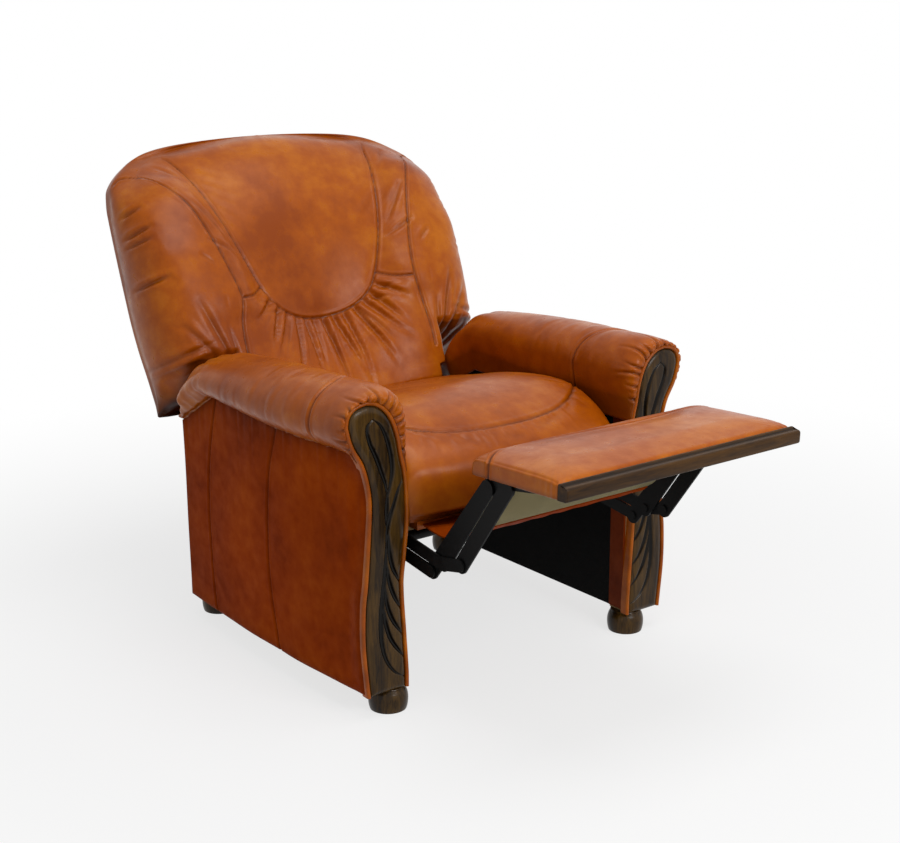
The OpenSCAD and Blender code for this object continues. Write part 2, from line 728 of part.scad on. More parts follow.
// Points [x, thickness] of the back's front from the middle to the edge at height s
function back_knots(s) =
    let (
        hw = back_half(s),
        xo = min(shape(wing_seam_keys, s, back_len, back_half_w), hw - (s < 0 ? 16 : 40)),
        xi = min(shape(head_seam_keys, s, back_len, back_half_w), xo - 12),
        xw = hw - (s < 0 ? 5 : 18),
        tw = shape(back_wing_keys, s, back_len, back_depth)
    )
    [
        [0, shape(back_mid_keys, s, back_len, back_depth)],
        [xi, shape(back_head_keys, s, back_len, back_depth)],
        [xo, shape(back_ridge_keys, s, back_len, back_depth)],
        [xw, tw],
        [hw, tw * 0.55]
    ];

function back_ring(s) =
    let (
        k = back_knots(s),
        hw = k[4][0],
        step = s < 0 ? k[2][0] + 4 : min(max(back_low_half_w - 1, k[2][0] + 6), hw - 30),
        low = s < -0.3,
        step2 = low ? step + 3 : s < 0 ? hw - 1.6 : step + 6,
        corner_x = max(k[3][0], step2 + 0.6),
        limit = swing_limit(s),
        wedge = low ? 1000 : max(2.5, wing_drop * s),
        xs = concat(
            [for (f = [0 : 0.25 : 1]) f * k[1][0]],
            [for (f = [1 : 3]) k[1][0] + (k[2][0] - k[1][0]) * f / 3],
            [step, step2],
            [for (f = [1 : 3]) step2 + (corner_x - step2) * f / 3],
            [hw]
        ),
        deep = back_board_t1 + seat_gap,
        rear = low ? deep : 0,
        panel_half = s < 57 ? back_low_half_w - 5 : hw - back_rim - 3,
        panel_deep = low ? deep : s < 551 ? back_board_t0 + seat_gap : 0,
        frame_half = min(s > 57 && s < 430.5 ? 1000 : back_low_half_w - 6, panel_half - 1),
        frame_deep = s < 512 ? deep : panel_deep,
        front_edge = min(k[4][1], limit, wedge),
        half = concat(
            [for (x = xs) [x, min(curve(k, x), limit, x > step ? wedge : 1000)]],
            [
                [hw, rear + min(3, 0.4 * (front_edge - rear))],
                [hw - (s < 0 ? 3 : 6), rear],
                [panel_half + 1, rear],
                [panel_half, panel_deep],
                [frame_half, panel_deep],
                [frame_half - 1, frame_deep],
                [k[1][0] * 0.5, frame_deep],
                [0, frame_deep]
            ]
        )
    )
    [for (p = mirrored(half)) [p[0], s, p[1]]];

module back_cushion() color("#b5581f") on_back() {
    stations = [
        back_low_s, -48, -36, -0.5, -0.1, 0.5, 25, 54, 58, 84, 115, 146, 175, 205, 250, 310, 370, 430, 431, 455, 482,
        511.5, 512.5, 530, 550.5, 551.5, 562, 571, back_len
    ];
    loft([for (s = stations) back_ring(s)]);
}

// Outer back panel, inside the rim of the cushion
module back_panel() color("#8a3f14") on_back() {
    ss = concat([1, 56, 64, 160, 240, 320, 400], [for (s = [430 : 20 : 550]) s]);
    half = [for (s = ss) [min(s < 60 ? back_low_half_w - 8 : 1000, back_half(s) - back_rim - 6), s]];
    translate([0, 0, back_board_t0 - seat_gap - back_skin_t]) linear_extrude(back_skin_t)
        polygon(concat(half, [for (i = [len(half) - 1 : -1 : 0]) [-half[i][0], half[i][1]]]));
}

module dust_cover() color("#1c1a18") on_back()
    translate([-back_low_half_w + 6, back_low_s + 4, back_board_t0 - seat_gap - 4])
        cube([2 * back_low_half_w - 12, -back_low_s - 5, 4]);

module back_board(x0, x1, s0, s1, t0 = back_board_t0) {
    translate([x0, s0, t0]) cube([x1 - x0, s1 - s0, back_board_t1 - t0]);
}

module back_uprights() color("#c8a878") on_back() for (side = [-1, 1]) mirror([side < 0 ? 1 : 0, 0, 0])
    back_board(upright_x, upright_x + upright_w, back_frame_s0, back_frame_s1);

module back_rail_low() color("#c8a878") on_back()
    back_board(-upright_x, upright_x, back_frame_s0, back_frame_s0 + upright_w);

module back_rail_top() color("#c8a878") on_back()
    back_board(-upright_x, upright_x, back_frame_s1 - upright_w, back_frame_s1);

module back_wing_boards() color("#c8a878") on_back() for (side = [-1, 1]) mirror([side < 0 ? 1 : 0, 0, 0])
    back_board(upright_x + upright_w, back_half_w - back_rim - 22, 90, 425, back_board_t0 + back_board_t / 2);

// Steel bracket from the seat hinge to the back's upright, on two spacer sleeves
bracket_foot = [
    back_root_y + sin(back_lean) * (back_frame_s0 + 24) - cos(back_lean) * (back_board_t0 + back_board_t / 2),
    back_root_z + cos(back_lean) * (back_frame_s0 + 24) + sin(back_lean) * (back_board_t0 + back_board_t / 2)
];
module back_bracket() {
    side_plate(back_bracket_x, plate_t) difference() {
        strap(hinge, bracket_foot, 36);
        hole(hinge, hinge_r + rivet_play);
    }
    for (d = [-9, 11])
        cross_rod(bracket_foot + d * [sin(back_lean), cos(back_lean)], upright_x + upright_w, back_bracket_x + 1, 6);
}

module back_bracket_left() color("#202022") on_side(1) back_bracket();
module back_bracket_right() color("#202022") on_side(-1) back_bracket();

module rear_link() {
    side_plate(link_x, plate_t) difference() {
        strap(rear_seat_pivot, rear_low_pivot, link_w);
        hole(rear_seat_pivot);
    }
    rivet(rear_low_pivot, link_x);
}

module rear_link_left() color("#202022") on_side(1) rear_link();
module rear_link_right() color("#202022") on_side(-1) rear_link();

// Tube that makes both rear links turn together
torque_at = rear_seat_pivot + 30 * [-cos(link_slope), -sin(link_slope)];
module torque_tube() color("#202022") placed() difference() {
    cross_rod(torque_at, -link_x, link_x, torque_d / 2);
    cross_rod(torque_at, -link_x - 1, link_x + 1, torque_d / 2 - 2);
}

// Cranked link: seat pivot, crossing pivot, then up to the front strap
module front_link() {
    side_plate(link_x, plate_t) difference() {
        union() {
            strap(front_seat_pivot, cross_pivot, link_w);
            strap(cross_pivot, front_low_pivot, link_w);
        }
        hole(front_seat_pivot);
    }
    rivet(cross_pivot, link_x);
    rivet(front_low_pivot, link_x);
}

module front_link_left() color("#202022") on_side(1) front_link();
module front_link_right() color("#202022") on_side(-1) front_link();

module rear_strap() {
    side_plate(strap_x, plate_t) difference() {
        union() {
            strap(rear_low_pivot, rear_rest_pivot, strap_w2);
            strap(cross_pivot, rear_rest_pivot, strap_w2);
        }
        hole(rear_low_pivot);
        hole(cross_pivot);
    }
    rivet(rear_rest_pivot, strap_x);
}

module rear_strap_left() color("#202022") on_side(1) rear_strap();
module rear_strap_right() color("#202022") on_side(-1) rear_strap();

module front_strap() {
    side_plate(strap_x, plate_t) difference() {
        strap(front_low_pivot, front_rest_pivot, strap_w2);
        hole(front_low_pivot);
    }
    rivet(front_rest_pivot, strap_x);
}

module front_strap_left() color("#202022") on_side(1) front_strap();
module front_strap_right() color("#202022") on_side(-1) front_strap();

module footrest_board() color("#c8a878") on_footrest()
    translate([-rest_half_w + 5, -rest_len, rest_bottom]) cube([2 * rest_half_w - 10, rest_len - 3, rest_board_t]);

// Half ring of the footrest pad, crowned with round edges
function rest_ring(d, w, rise) =
    let (
        z0 = -rest_pad_t + seat_gap,
        half = concat(
            [for (f = [0, 0.35, 0.7, 0.88]) [w * f, rise + rest_crown * (1 - pow(f, 4)) * (rise < 0 ? 0.3 : 1)]],
            [for (a = [70, 35, 0]) [w - 6 + 6 * cos(a), rise - 5 + 5 * sin(a)]],
            [[w, z0 + 0.4 * (rise - 5 - z0)], [w - 1, z0], [w / 2, z0], [0, z0]]
        )
    )
    [for (p = mirrored(half)) [p[0], -d, p[1]]];

module footrest_pad() color("#b5581f") on_footrest() {
    ds = [0.5, 3, 9, 20, 45, 90, 140, 180, 204, rest_len - 3, rest_len - seat_gap];
    rises = [-6, -3, -1, 0, 0, 0, 0, 0, -0.5, -1.5, -3];
    loft([for (i = [0 : len(ds) - 1]) rest_ring(ds[i], rest_half_w + rises[i] / 2, rises[i])]);
}

module footrest_trim() color("#5a3a22") on_footrest() difference() {
    translate([-rest_half_w, -rest_len - trim_w, rest_bottom - 2]) cube([2 * rest_half_w, trim_w, -rest_bottom + 3]);
    translate([-rest_half_w - 1, -rest_len - trim_w, 1]) rotate([45, 0, 0]) translate([0, -4, -4]) cube([2 * rest_half_w + 2, 8, 8]);
}

// Footrest bracket: plate with the two strap pivots and a flange under the board
module footrest_bracket(side) {
    p1 = [rest_pivot_in, -rest_pivot_drop];
    p2 = p1 + [
        -strap_offset[0] * cos(rest_tilt) + strap_offset[1] * sin(rest_tilt),
        strap_offset[0] * sin(rest_tilt) + strap_offset[1] * cos(rest_tilt)
    ];
    mirror([side < 0 ? 1 : 0, 0, 0]) on_footrest() {
        side_plate(bracket_x, plate_t) difference() {
            union() {
                strap([-p1[0], p1[1]], [-p2[0], p2[1]], 26);
                polygon([[-2, rest_bottom], [-150, rest_bottom], [-150, rest_bottom - 10], [-p2[0] - 12, p2[1]], [-p1[0] + 13, p1[1]]]);
            }
            hole([-p1[0], p1[1]]);
            hole([-p2[0], p2[1]]);
        }
        translate([flap_half_w + 3, -150, rest_bottom - 3]) cube([bracket_x + 1 - flap_half_w - 3, 146, 3]);
    }
}

module footrest_bracket_left() color("#202022") footrest_bracket(1);
module footrest_bracket_right() color("#202022") footrest_bracket(-1);

foot_front_left();
foot_front_right();
foot_rear_left();
foot_rear_right();
posts_front();
posts_rear();
arm_rails_top();
arm_rails_bottom();
side_panel_left();
side_panel_right();
arm_lining_left();
arm_lining_right();
arm_strips();
arm_pad_left();
arm_pad_right();
arm_facing_left();
arm_facing_right();
facing_welt_left();
facing_welt_right();
base_rail_rear();
base_cross_tube();
slide_channel_left();
slide_channel_right();
seat_rail_left();
seat_rail_right();
seat_rail_front();
seat_rail_rear();
seat_springs();
seat_cushion();
seat_plate_left();
seat_plate_right();
seat_rollers();
hinge_pins();
pivot_rivets();
leg_flap();
back_uprights();
back_rail_low();
back_rail_top();
back_wing_boards();
back_cushion();
back_panel();
dust_cover();
back_bracket_left();
back_bracket_right();
rear_link_left();
rear_link_right();
torque_tube();
front_link_left();
front_link_right();
rear_strap_left();
rear_strap_right();
front_strap_left();
front_strap_right();
footrest_board();
footrest_pad();
footrest_trim();
footrest_bracket_left();
footrest_bracket_right();
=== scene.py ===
import json
from math import cos, exp, pi, radians, sin, sqrt

import bpy
import numpy as np
from mathutils import Matrix, Vector


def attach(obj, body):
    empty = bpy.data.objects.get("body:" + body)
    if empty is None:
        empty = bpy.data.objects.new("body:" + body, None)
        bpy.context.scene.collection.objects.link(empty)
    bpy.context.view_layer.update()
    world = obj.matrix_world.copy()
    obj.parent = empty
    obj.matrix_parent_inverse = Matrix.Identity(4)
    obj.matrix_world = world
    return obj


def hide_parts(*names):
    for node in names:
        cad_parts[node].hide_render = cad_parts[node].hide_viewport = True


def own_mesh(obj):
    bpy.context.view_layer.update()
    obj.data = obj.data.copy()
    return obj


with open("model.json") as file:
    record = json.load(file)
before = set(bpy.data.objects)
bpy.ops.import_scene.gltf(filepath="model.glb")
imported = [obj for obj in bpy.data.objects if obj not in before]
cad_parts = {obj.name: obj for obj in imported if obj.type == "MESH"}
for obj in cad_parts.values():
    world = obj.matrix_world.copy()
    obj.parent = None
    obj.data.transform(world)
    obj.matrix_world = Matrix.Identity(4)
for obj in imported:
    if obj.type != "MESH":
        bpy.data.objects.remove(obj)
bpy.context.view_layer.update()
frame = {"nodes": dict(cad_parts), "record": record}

# Every shape below is worked out in millimetres from the middle between the front feet, then moved into the frame
MID_Y = 224.851
LEAN = radians(21)
TILT = radians(2.8)
BACK_ROOT_Y, BACK_ROOT_Z = 690, 404
REST_ROOT_Y, REST_ROOT_Z = -210, 510
ARM_INNER = 272.0
ARM_BOX_W = 86.0
ARM_H = 489.0
ARM_Y0 = -13.0
ARM_Y1 = 612.0
ARM_LEN = ARM_Y1 - ARM_Y0
ARM_OUTER = ARM_INNER + ARM_BOX_W
PAD_REAR_Y = ARM_Y1 - 14
BACK_LEN = 576.0
BACK_HALF = 392.0
BACK_DEPTH = 172.0
BACK_LOW = -60.0
BACK_LOW_HALF = 252.0
SWING_R = 107.0
HINGE_Y, HINGE_Z = 480.0, 330.0
SEAT_H = 346.0
# Step at which seams are measured
SEAM_STEP = 2.5


# ---- small tools
def linear(code):
    """A colour written as sRGB hex, as the linear values Blender takes."""
    parts = [int(code[i : i + 2], 16) / 255 for i in (1, 3, 5)]
    return tuple(c / 12.92 if c <= 0.04045 else ((c + 0.055) / 1.055) ** 2.4 for c in parts) + (1.0,)


def keyed(keys, v):
    """Smooth curve through keys of (place, value)."""
    k = np.array(keys, float)
    x, y = k[:, 0], k[:, 1]
    low = np.maximum(np.arange(len(k)) - 1, 0)
    high = np.minimum(np.arange(len(k)) + 1, len(k) - 1)
    slope = (y[high] - y[low]) / (x[high] - x[low])
    v = np.asarray(v, float)
    i = np.clip(np.searchsorted(x, v, side="right") - 1, 0, len(k) - 2)
    h = x[i + 1] - x[i]
    t = np.clip((v - x[i]) / h, 0, 1)
    a, b, da, db = y[i], y[i + 1], slope[i] * h, slope[i + 1] * h
    return a + t * (da + t * (3 * (b - a) - 2 * da - db + t * (2 * (a - b) + da + db)))


def shaped(keys, v, length, size):
    """Smooth curve through keys in thousandths of a length and of a size."""
    return size / 1000 * keyed(keys, 1000 * np.asarray(v, float) / length)


def ease(v):
    """From 0 to 1 with soft ends."""
    c = np.clip(v, 0, 1)
    return c * c * (3 - 2 * c)


def bell(v, width):
    """1 in the middle, fading out over a width at each side."""
    return np.exp(-((v / width) ** 2))


def wave(v, length):
    return np.cos(2 * pi * v / length)


def stuffed(d, height, reach):
    """Rise of the foam away from a seam that holds it down."""
    return height * (1 - np.exp(-d / reach))


def ditch(d, depth, width, ridge, ridge_at, ridge_width):
    """A ditch, and the hide that stands up along both its sides."""
    return ridge * bell(d - ridge_at, ridge_width) - depth * bell(d, width)


def seam_shade(d, deep, width, around):
    """Darkening in a seam, and a little of it beside the seam."""
    return deep * bell(d, width) + around * np.exp(-d / 12.0)


def arc(x, z, wide, high, start, end, count):
    """Part of an ellipse round (x, z), between two angles in degrees."""
    a = np.radians(np.linspace(start, end, count))
    return columns(x + wide * np.cos(a), z + high * np.sin(a))


def columns(*parts):
    return np.column_stack(parts)


def to_frame(points):
    """Millimetres from the front feet, as metres in the frame."""
    p = np.array(points, float)
    p[:, 1] -= MID_Y
    return p / 1000


def back_to_chair(p):
    """Points (x, distance up the back's rear face, thickness forward) as chair points."""
    x, s, t = p.T
    y = BACK_ROOT_Y + s * sin(LEAN) - t * cos(LEAN)
    return columns(x, y, BACK_ROOT_Z + s * cos(LEAN) + t * sin(LEAN))


def rest_to_chair(p):
    """Points (x, distance forward from the footrest's rear edge, height over it) as chair points."""
    x, d, n = p.T
    y = REST_ROOT_Y - d * cos(TILT) - n * sin(TILT)
    return columns(x, y, REST_ROOT_Z + d * sin(TILT) + n * cos(TILT))


def run_along(p):
    """How far along a line each of its points lies."""
    return np.concatenate([[0], np.cumsum(np.linalg.norm(np.diff(p, axis=0), axis=1))])


def spaced(line, step):
    """Points every step along a line, smoothly bent through its corners."""
    p = np.array(line, float)
    cut = run_along(p)
    at = np.arange(0, cut[-1], step)
    return np.column_stack([keyed(columns(cut, p[:, c]), at) for c in (0, 1)])


def resampled(line, count):
    """count points at equal spacing along a smooth line."""
    q = np.vstack([spaced(line, 2.0), line[-1:]])
    cut = run_along(q)
    at = np.linspace(0, cut[-1], count)
    return np.column_stack([np.interp(at, cut, q[:, c]) for c in (0, 1)])


def seam_reach(points, seams):
    """Distance to the nearest seam and how far along it, for points in a plane."""
    best, along = np.full(len(points), 1e9), np.zeros(len(points))
    for line in seams:
        q = spaced(line, SEAM_STEP)
        for a in range(0, len(points), 4000):
            some = slice(a, a + 4000)
            d = np.linalg.norm(points[some, None, :] - q[None, :, :], axis=2)
            i, near = d.argmin(axis=1), d.min(axis=1)
            better = near < best[some]
            best[some][better] = near[better]
            along[some][better] = SEAM_STEP * i[better]
    return best, along


def sway(u, seed=0.0):
    """Uneven wave along a seam, so that gathers differ from one to the next."""
    return np.sin(0.043 * u + seed) + 0.6 * np.sin(0.117 * u + 1.7 * seed + 1) + 0.35 * np.sin(0.231 * u + 2.3 * seed)


def linked(name, data):
    """A new object in the scene."""
    obj = bpy.data.objects.new(name, data)
    bpy.context.scene.collection.objects.link(obj)
    return obj


def new_mesh(name, points, faces):
    mesh = bpy.data.meshes.new(name)
    mesh.from_pydata([tuple(p) for p in points], [], faces)
    mesh.update()
    return linked(name, mesh)


def only(obj):
    """obj alone is selected and active."""
    bpy.ops.object.select_all(action="DESELECT")
    obj.select_set(True)
    bpy.context.view_layer.objects.active = obj


def ring_faces(rows, cols):
    """Quads over rows of closed rings, and strips that close each end from one side of its ring to the other."""
    ring = [(j, (j + 1) % cols) for j in range(cols)]
    faces = [(i + a, i + b, i + cols + b, i + cols + a) for i in range(0, (rows - 1) * cols, cols) for a, b in ring]
    for base in (0, (rows - 1) * cols):
        for j in range((cols + 1) // 2):
            strip = list(dict.fromkeys([j, j + 1, (cols - j - 1) % cols, (cols - j) % cols]))
            if len(strip) > 2:
                faces.append(tuple(base + v for v in (strip if base else strip[::-1])))
    return faces


def grid_faces(rows, cols):
    """Quads over rows of points."""
    corners = [(i * cols + k, (i + 1) * cols + k) for i in range(rows - 1) for k in range(cols - 1)]
    return [(a, a + 1, b + 1, b) for a, b in corners]


def outward(obj):
    only(obj)
    bpy.ops.object.mode_set(mode="EDIT")
    bpy.ops.mesh.select_all(action="SELECT")
    bpy.ops.mesh.normals_make_consistent(inside=False)
    bpy.ops.object.mode_set(mode="OBJECT")


def ring_mesh(name, rings, to_chair=None):
    """A closed piece over rings of points; also gives its points, and the place in its ring of each."""
    local = np.vstack(rings)
    obj = new_mesh(name, to_frame(to_chair(local) if to_chair else local), ring_faces(len(rings), len(rings[0])))
    outward(obj)
    return obj, local, np.tile(np.arange(len(rings[0])), len(rings))


def at_y(outline, y):
    """An outline of (x, z) set at a place along the piece."""
    return columns(outline[:, 0], np.zeros(len(outline)) + y, outline[:, 1])


def ring_at(half, y):
    """A half outline closed by its mirror image, at a place along the piece."""
    return at_y(np.vstack([half, half[-2:0:-1] * (-1, 1)]), y)


def on_show(j, shown):
    """Which places of such rings lie on the side that shows."""
    return (j < shown) | (j > j.max() + 1 - shown)


def numbers(data, key, each):
    v = np.zeros(len(data) * each)
    data.foreach_get(key, v)
    return v.reshape(-1, each)


def coords(obj):
    return numbers(obj.data.vertices, "co", 3)


def normals(obj):
    return numbers(obj.data.vertices, "normal", 3)


def set_coords(obj, co):
    obj.data.vertices.foreach_set("co", np.asarray(co, float).ravel())
    obj.data.update()


def paint(obj, name, values):
    """Stores one number a vertex for a material to read."""
    a = obj.data.attributes.get(name) or obj.data.attributes.new(name, "FLOAT", "POINT")
    a.data.foreach_set("value", np.asarray(values, np.float32))


def mark_shade_and_tone(obj, values, most=1):
    """Paints how much darker each point is drawn: painted shade in creases, seams, recesses and shaded places, and on
    a few pieces a darker tone of their own.
    """
    paint(obj, "shade_and_tone", np.clip(values, 0, most))


def set_all(thing, **values):
    for key, value in values.items():
        setattr(thing, key, value)


def modify(obj, kind, **settings):
    m = obj.modifiers.new(kind.title(), kind)
    set_all(m, **settings)
    only(obj)
    bpy.ops.object.modifier_apply(modifier=m.name)


def refine(obj, **values):
    """One more subdivision; gives back each named value for the new points."""
    for name, v in values.items():
        paint(obj, name, v)
    modify(obj, "SUBSURF", levels=1, render_levels=1)
    out = []
    for name in values:
        out.append(numbers(obj.data.attributes[name].data, "value", 1)[:, 0])
        obj.data.attributes.remove(obj.data.attributes[name])
    return out


def raised(obj, height):
    """Moves every point along its normal by a height in millimetres."""
    set_coords(obj, coords(obj) + normals(obj) * (height / 1000)[:, None])


def settled(obj, weight, rounds):
    """Lets points settle between their neighbours, each as far as its weight says."""
    ends = np.array([e.vertices[:] for e in obj.data.edges])
    joined = np.bincount(ends.ravel(), minlength=len(obj.data.vertices))[:, None]
    co = coords(obj)
    for _ in range(rounds):
        total = np.zeros_like(co)
        np.add.at(total, ends[:, 0], co[ends[:, 1]])
        np.add.at(total, ends[:, 1], co[ends[:, 0]])
        co = co + (total / joined - co) * 0.5 * weight[:, None]
    set_coords(obj, co)


def folds(points, lines):
    """Height of creases in the hide, and how deep each point is in one; a line is (x, y, x, y, depth, half width)."""
    lift, dip = np.zeros(len(points)), np.zeros(len(points))
    for x0, y0, x1, y1, depth, width in lines:
        start, way = np.array([x0, y0]), np.array([x1 - x0, y1 - y0])
        f = np.clip((points - start) @ way / (way @ way), 0, 1)
        off = np.hypot(*(points - start - f[:, None] * way).T)
        taper = np.sin(pi * (0.15 + 0.8 * f))
        dip = np.maximum(dip, depth * taper * bell(off, width))
        lift = np.maximum(lift, 0.5 * depth * taper * bell(off - 2.3 * width, 1.4 * width))
    return lift - dip, np.clip(dip / 4, 0, 1)


def laid(lines, side, by):
    """Creases of the left half, laid on the side -1 or 1 and made by so much deeper."""
    return [(side * a, b, side * c, e, by * depth, width) for a, b, c, e, depth, width in lines]


def inflate(obj, soft, d, tight, fixed, pressure, cap, frames=18):
    """Blows a piece up as cloth over foam, held where it isn't soft, at its seams and where fixed, by up to cap."""
    held = np.maximum(np.where(soft, bell(d, tight), 1.0), fixed)
    start = coords(obj)
    group = obj.vertex_groups.new(name="held")
    for i in np.flatnonzero(held > 0.02):
        group.add([int(i)], float(held[i]), "REPLACE")
    m = obj.modifiers.new("Cloth", "CLOTH")
    set_all(m.settings, quality=4, mass=0.4, tension_stiffness=18, compression_stiffness=8, shear_stiffness=6)
    set_all(m.settings, bending_stiffness=1.2, use_pressure=True, uniform_pressure_force=pressure)
    m.settings.effector_weights.gravity = 0
    set_all(m.settings, vertex_group_mass="held", pin_stiffness=2)
    m.collision_settings.use_collision = False
    set_all(m.point_cache, frame_start=1, frame_end=frames)
    for f in range(1, frames + 1):
        bpy.context.scene.frame_set(f)
    end = coords(obj.evaluated_get(bpy.context.evaluated_depsgraph_get()))
    obj.modifiers.clear()
    obj.vertex_groups.clear()
    move = end - start
    length = np.linalg.norm(move, axis=1)
    move *= (np.minimum(length, cap / 1000) / np.maximum(length, 1e-9))[:, None]
    move[~np.isfinite(move).all(axis=1)] = 0
    set_coords(obj, start + move)
    bpy.context.scene.frame_set(1)


# ---- materials
def node(tree, kind, links=None, **settings):
    """Adds a node, sets its properties and sockets, and links its inputs."""
    n = tree.nodes.new("ShaderNode" + kind)
    for key, value in settings.items():
        key = key.replace("_", " ") if key[0].isupper() else key
        if key in n.inputs:
            n.inputs[key].default_value = value
        else:
            setattr(n, key, value)
    for socket, source in (links or {}).items():
        tree.links.new(source, n.inputs[socket])
    return n


def blank(name):
    """An empty material, its node tree, and the place on the piece that its patterns follow."""
    mat = bpy.data.materials.new(name)
    mat.use_nodes = True
    tree = mat.node_tree
    tree.nodes.clear()
    return mat, tree, node(tree, "TexCoord").outputs["Object"]


def ramp(tree, source, stops):
    r = node(tree, "ValToRGB", {"Fac": source})
    while len(r.color_ramp.elements) < len(stops):
        r.color_ramp.elements.new(0.5)
    for e, (place, colour) in zip(r.color_ramp.elements, stops):
        e.position = place
        e.color = linear(colour) if isinstance(colour, str) else (colour, colour, colour, 1)
    return r.outputs["Color"]


def noise(tree, place, scale, detail, roughness=0.5, distortion=0.0):
    settings = {"Scale": scale, "Detail": detail, "Roughness": roughness, "Distortion": distortion}
    return node(tree, "TexNoise", {"Vector": place}, **settings).outputs["Fac"]


def combined(tree, operation, a, b):
    return node(tree, "Math", {0: a, 1: b}, operation=operation).outputs[0]


def relief(tree, height, strength, distance, under=None):
    """Fine bumps, on top of others where there are any."""
    links = {"Height": height} if under is None else {"Height": height, "Normal": under}
    return node(tree, "Bump", links, Strength=strength, Distance=distance).outputs["Normal"]


def with_shade_and_tone(tree, colour, dark):
    """A colour that goes over to a darker one by the painted shade and tone on the piece."""
    shade_and_tone = node(tree, "Attribute", attribute_name="shade_and_tone").outputs["Fac"]
    return node(tree, "MixRGB", {"Fac": shade_and_tone, "Color1": colour}, Color2=linear(dark)).outputs["Color"]


def coat_with(tree, links, **sockets):
    """The surface that a material ends in."""
    shader = node(tree, "BsdfPrincipled", links, **sockets)
    node(tree, "OutputMaterial", {"Surface": shader.outputs[0]})


def aniline_leather(name, dark, middle, light, shade_colour, roughness, gloss):
    """Pull-up cowhide, waxed and buffed: mottled dye, painted shade in its creases, seams and shaded places, fine
    pebbled grain.
    """
    mat, tree, place = blank(name)
    cloud, spots = noise(tree, place, 6.0, 3.0), noise(tree, place, 38.0, 4.0, 0.6)
    half = node(tree, "Mix", {"A": cloud, "B": spots}, Factor=0.35).outputs[0]
    dye = ramp(tree, half, [(0.36, dark), (0.5, middle), (0.66, light)])
    # pebbles about 1.6 mm wide, drawn a little coarser than real so that they show
    pebble = node(tree, "TexVoronoi", {"Vector": place}, Scale=620.0, feature="DISTANCE_TO_EDGE").outputs["Distance"]
    grain = relief(tree, ramp(tree, pebble, [(0.0, 0.0), (0.25, 1.0)]), 0.10, 0.0003)
    # fine stretch lines about 12 mm long, and slack over 40 mm
    grain = relief(tree, noise(tree, place, 95.0, 5.0, 0.65, 0.6), 0.16, 0.0012, grain)
    grain = relief(tree, noise(tree, place, 24.0, 2.0), 0.12, 0.004, grain)
    rough = ramp(tree, spots, [(0.3, roughness + 0.08), (0.7, roughness - 0.04)])
    links = {"Base Color": with_shade_and_tone(tree, dye, shade_colour), "Roughness": rough, "Normal": grain}
    coat_with(tree, links, IOR=1.45, Specular_IOR_Level=gloss)
    return mat


def polished_wood(name, dark, light, roughness, coat, along=(1, 1, 0.12)):
    """Stained beech under clear lacquer: long narrow grain and a wet-looking shine."""
    mat, tree, place = blank(name)
    stretched = node(tree, "Mapping", {"Vector": place}, Scale=along).outputs[0]
    # grain lines about 3 mm apart
    grain, broad = noise(tree, stretched, 160.0, 6.0, 0.6, 0.8), noise(tree, stretched, 28.0, 3.0)
    colour = ramp(tree, combined(tree, "MULTIPLY", grain, broad), [(0.16, dark), (0.36, light)])
    # painted shade in carved cuts and grooves, where the piece is marked
    links = {"Base Color": with_shade_and_tone(tree, colour, "#0c0704"), "Normal": relief(tree, grain, 0.12, 0.0006)}
    gloss = {"Specular IOR Level": 0.15, "Coat Weight": coat, "Coat Roughness": 0.08}
    coat_with(tree, links, Roughness=roughness, IOR=1.5, **gloss)
    return mat


def woven(name, dark, light, thread_mm, roughness):
    """Plain-weave cloth: over and under threads drawn as two crossed waves."""
    mat, tree, place = blank(name)
    thread = {"Scale": 1000 / thread_mm / 2, "Distortion": 0.6}
    warp, weft = (
        node(tree, "TexWave", {"Vector": place}, bands_direction=way, **thread).outputs["Fac"] for way in ("X", "Z")
    )
    threads = combined(tree, "MULTIPLY", warp, weft)
    tone = combined(tree, "MULTIPLY", threads, noise(tree, place, 18.0, 4.0))
    colour = ramp(tree, tone, [(0.02, dark), (0.4, light)])
    links = {"Base Color": colour, "Normal": relief(tree, threads, 0.5, 0.0005)}
    coat_with(tree, links, Roughness=roughness, Specular_IOR_Level=0.1, Sheen_Weight=0.03)
    return mat


def coated_steel(name, dark, light, roughness, metallic):
    """Stamped steel strip: faint rolling marks and scuffs under its finish."""
    mat, tree, place = blank(name)
    scuff = noise(tree, place, 70.0, 6.0, 0.7)
    rough = ramp(tree, scuff, [(0.3, roughness), (0.7, roughness + 0.15)])
    colour = ramp(tree, scuff, [(0.45, dark), (0.75, light)])
    links = {"Base Color": colour, "Roughness": rough, "Normal": relief(tree, scuff, 0.1, 0.0004)}
    coat_with(tree, links, Metallic=metallic, Specular_IOR_Level=0.5 if metallic else 0.15)
    return mat


cognac = aniline_leather("CognacAnilineLeather", "#8d3e01", "#a34e01", "#b96507", "#3a1302", 0.3, 0.24)
# a darker, duller copy of the leather for the side panels and the tongue under the seat: painted shade
cognac_shaded_side = aniline_leather("CognacShadedSidePanelLeather", "#832d00", "#993900", "#ad4801", "#3a1100", 0.55, 0.03)
# a darker copy of the leather for the welts and the inner arm strips: painted shade
cognac_shaded = aniline_leather("CognacShadedLeather", "#531b02", "#682502", "#7a3003", "#260a02", 0.5, 0.1)
walnut = polished_wood("WalnutStainedBeech", "#1f1204", "#4d3612", 0.3, 0.08)
walnut_trim = polished_wood("WalnutTrimLacquer", "#241302", "#4a2f0c", 0.42, 0.0, along=(0.1, 1, 1))
canvas = woven("UndyedCottonCanvas", "#746c4e", "#b0a47c", 1.6, 0.9)
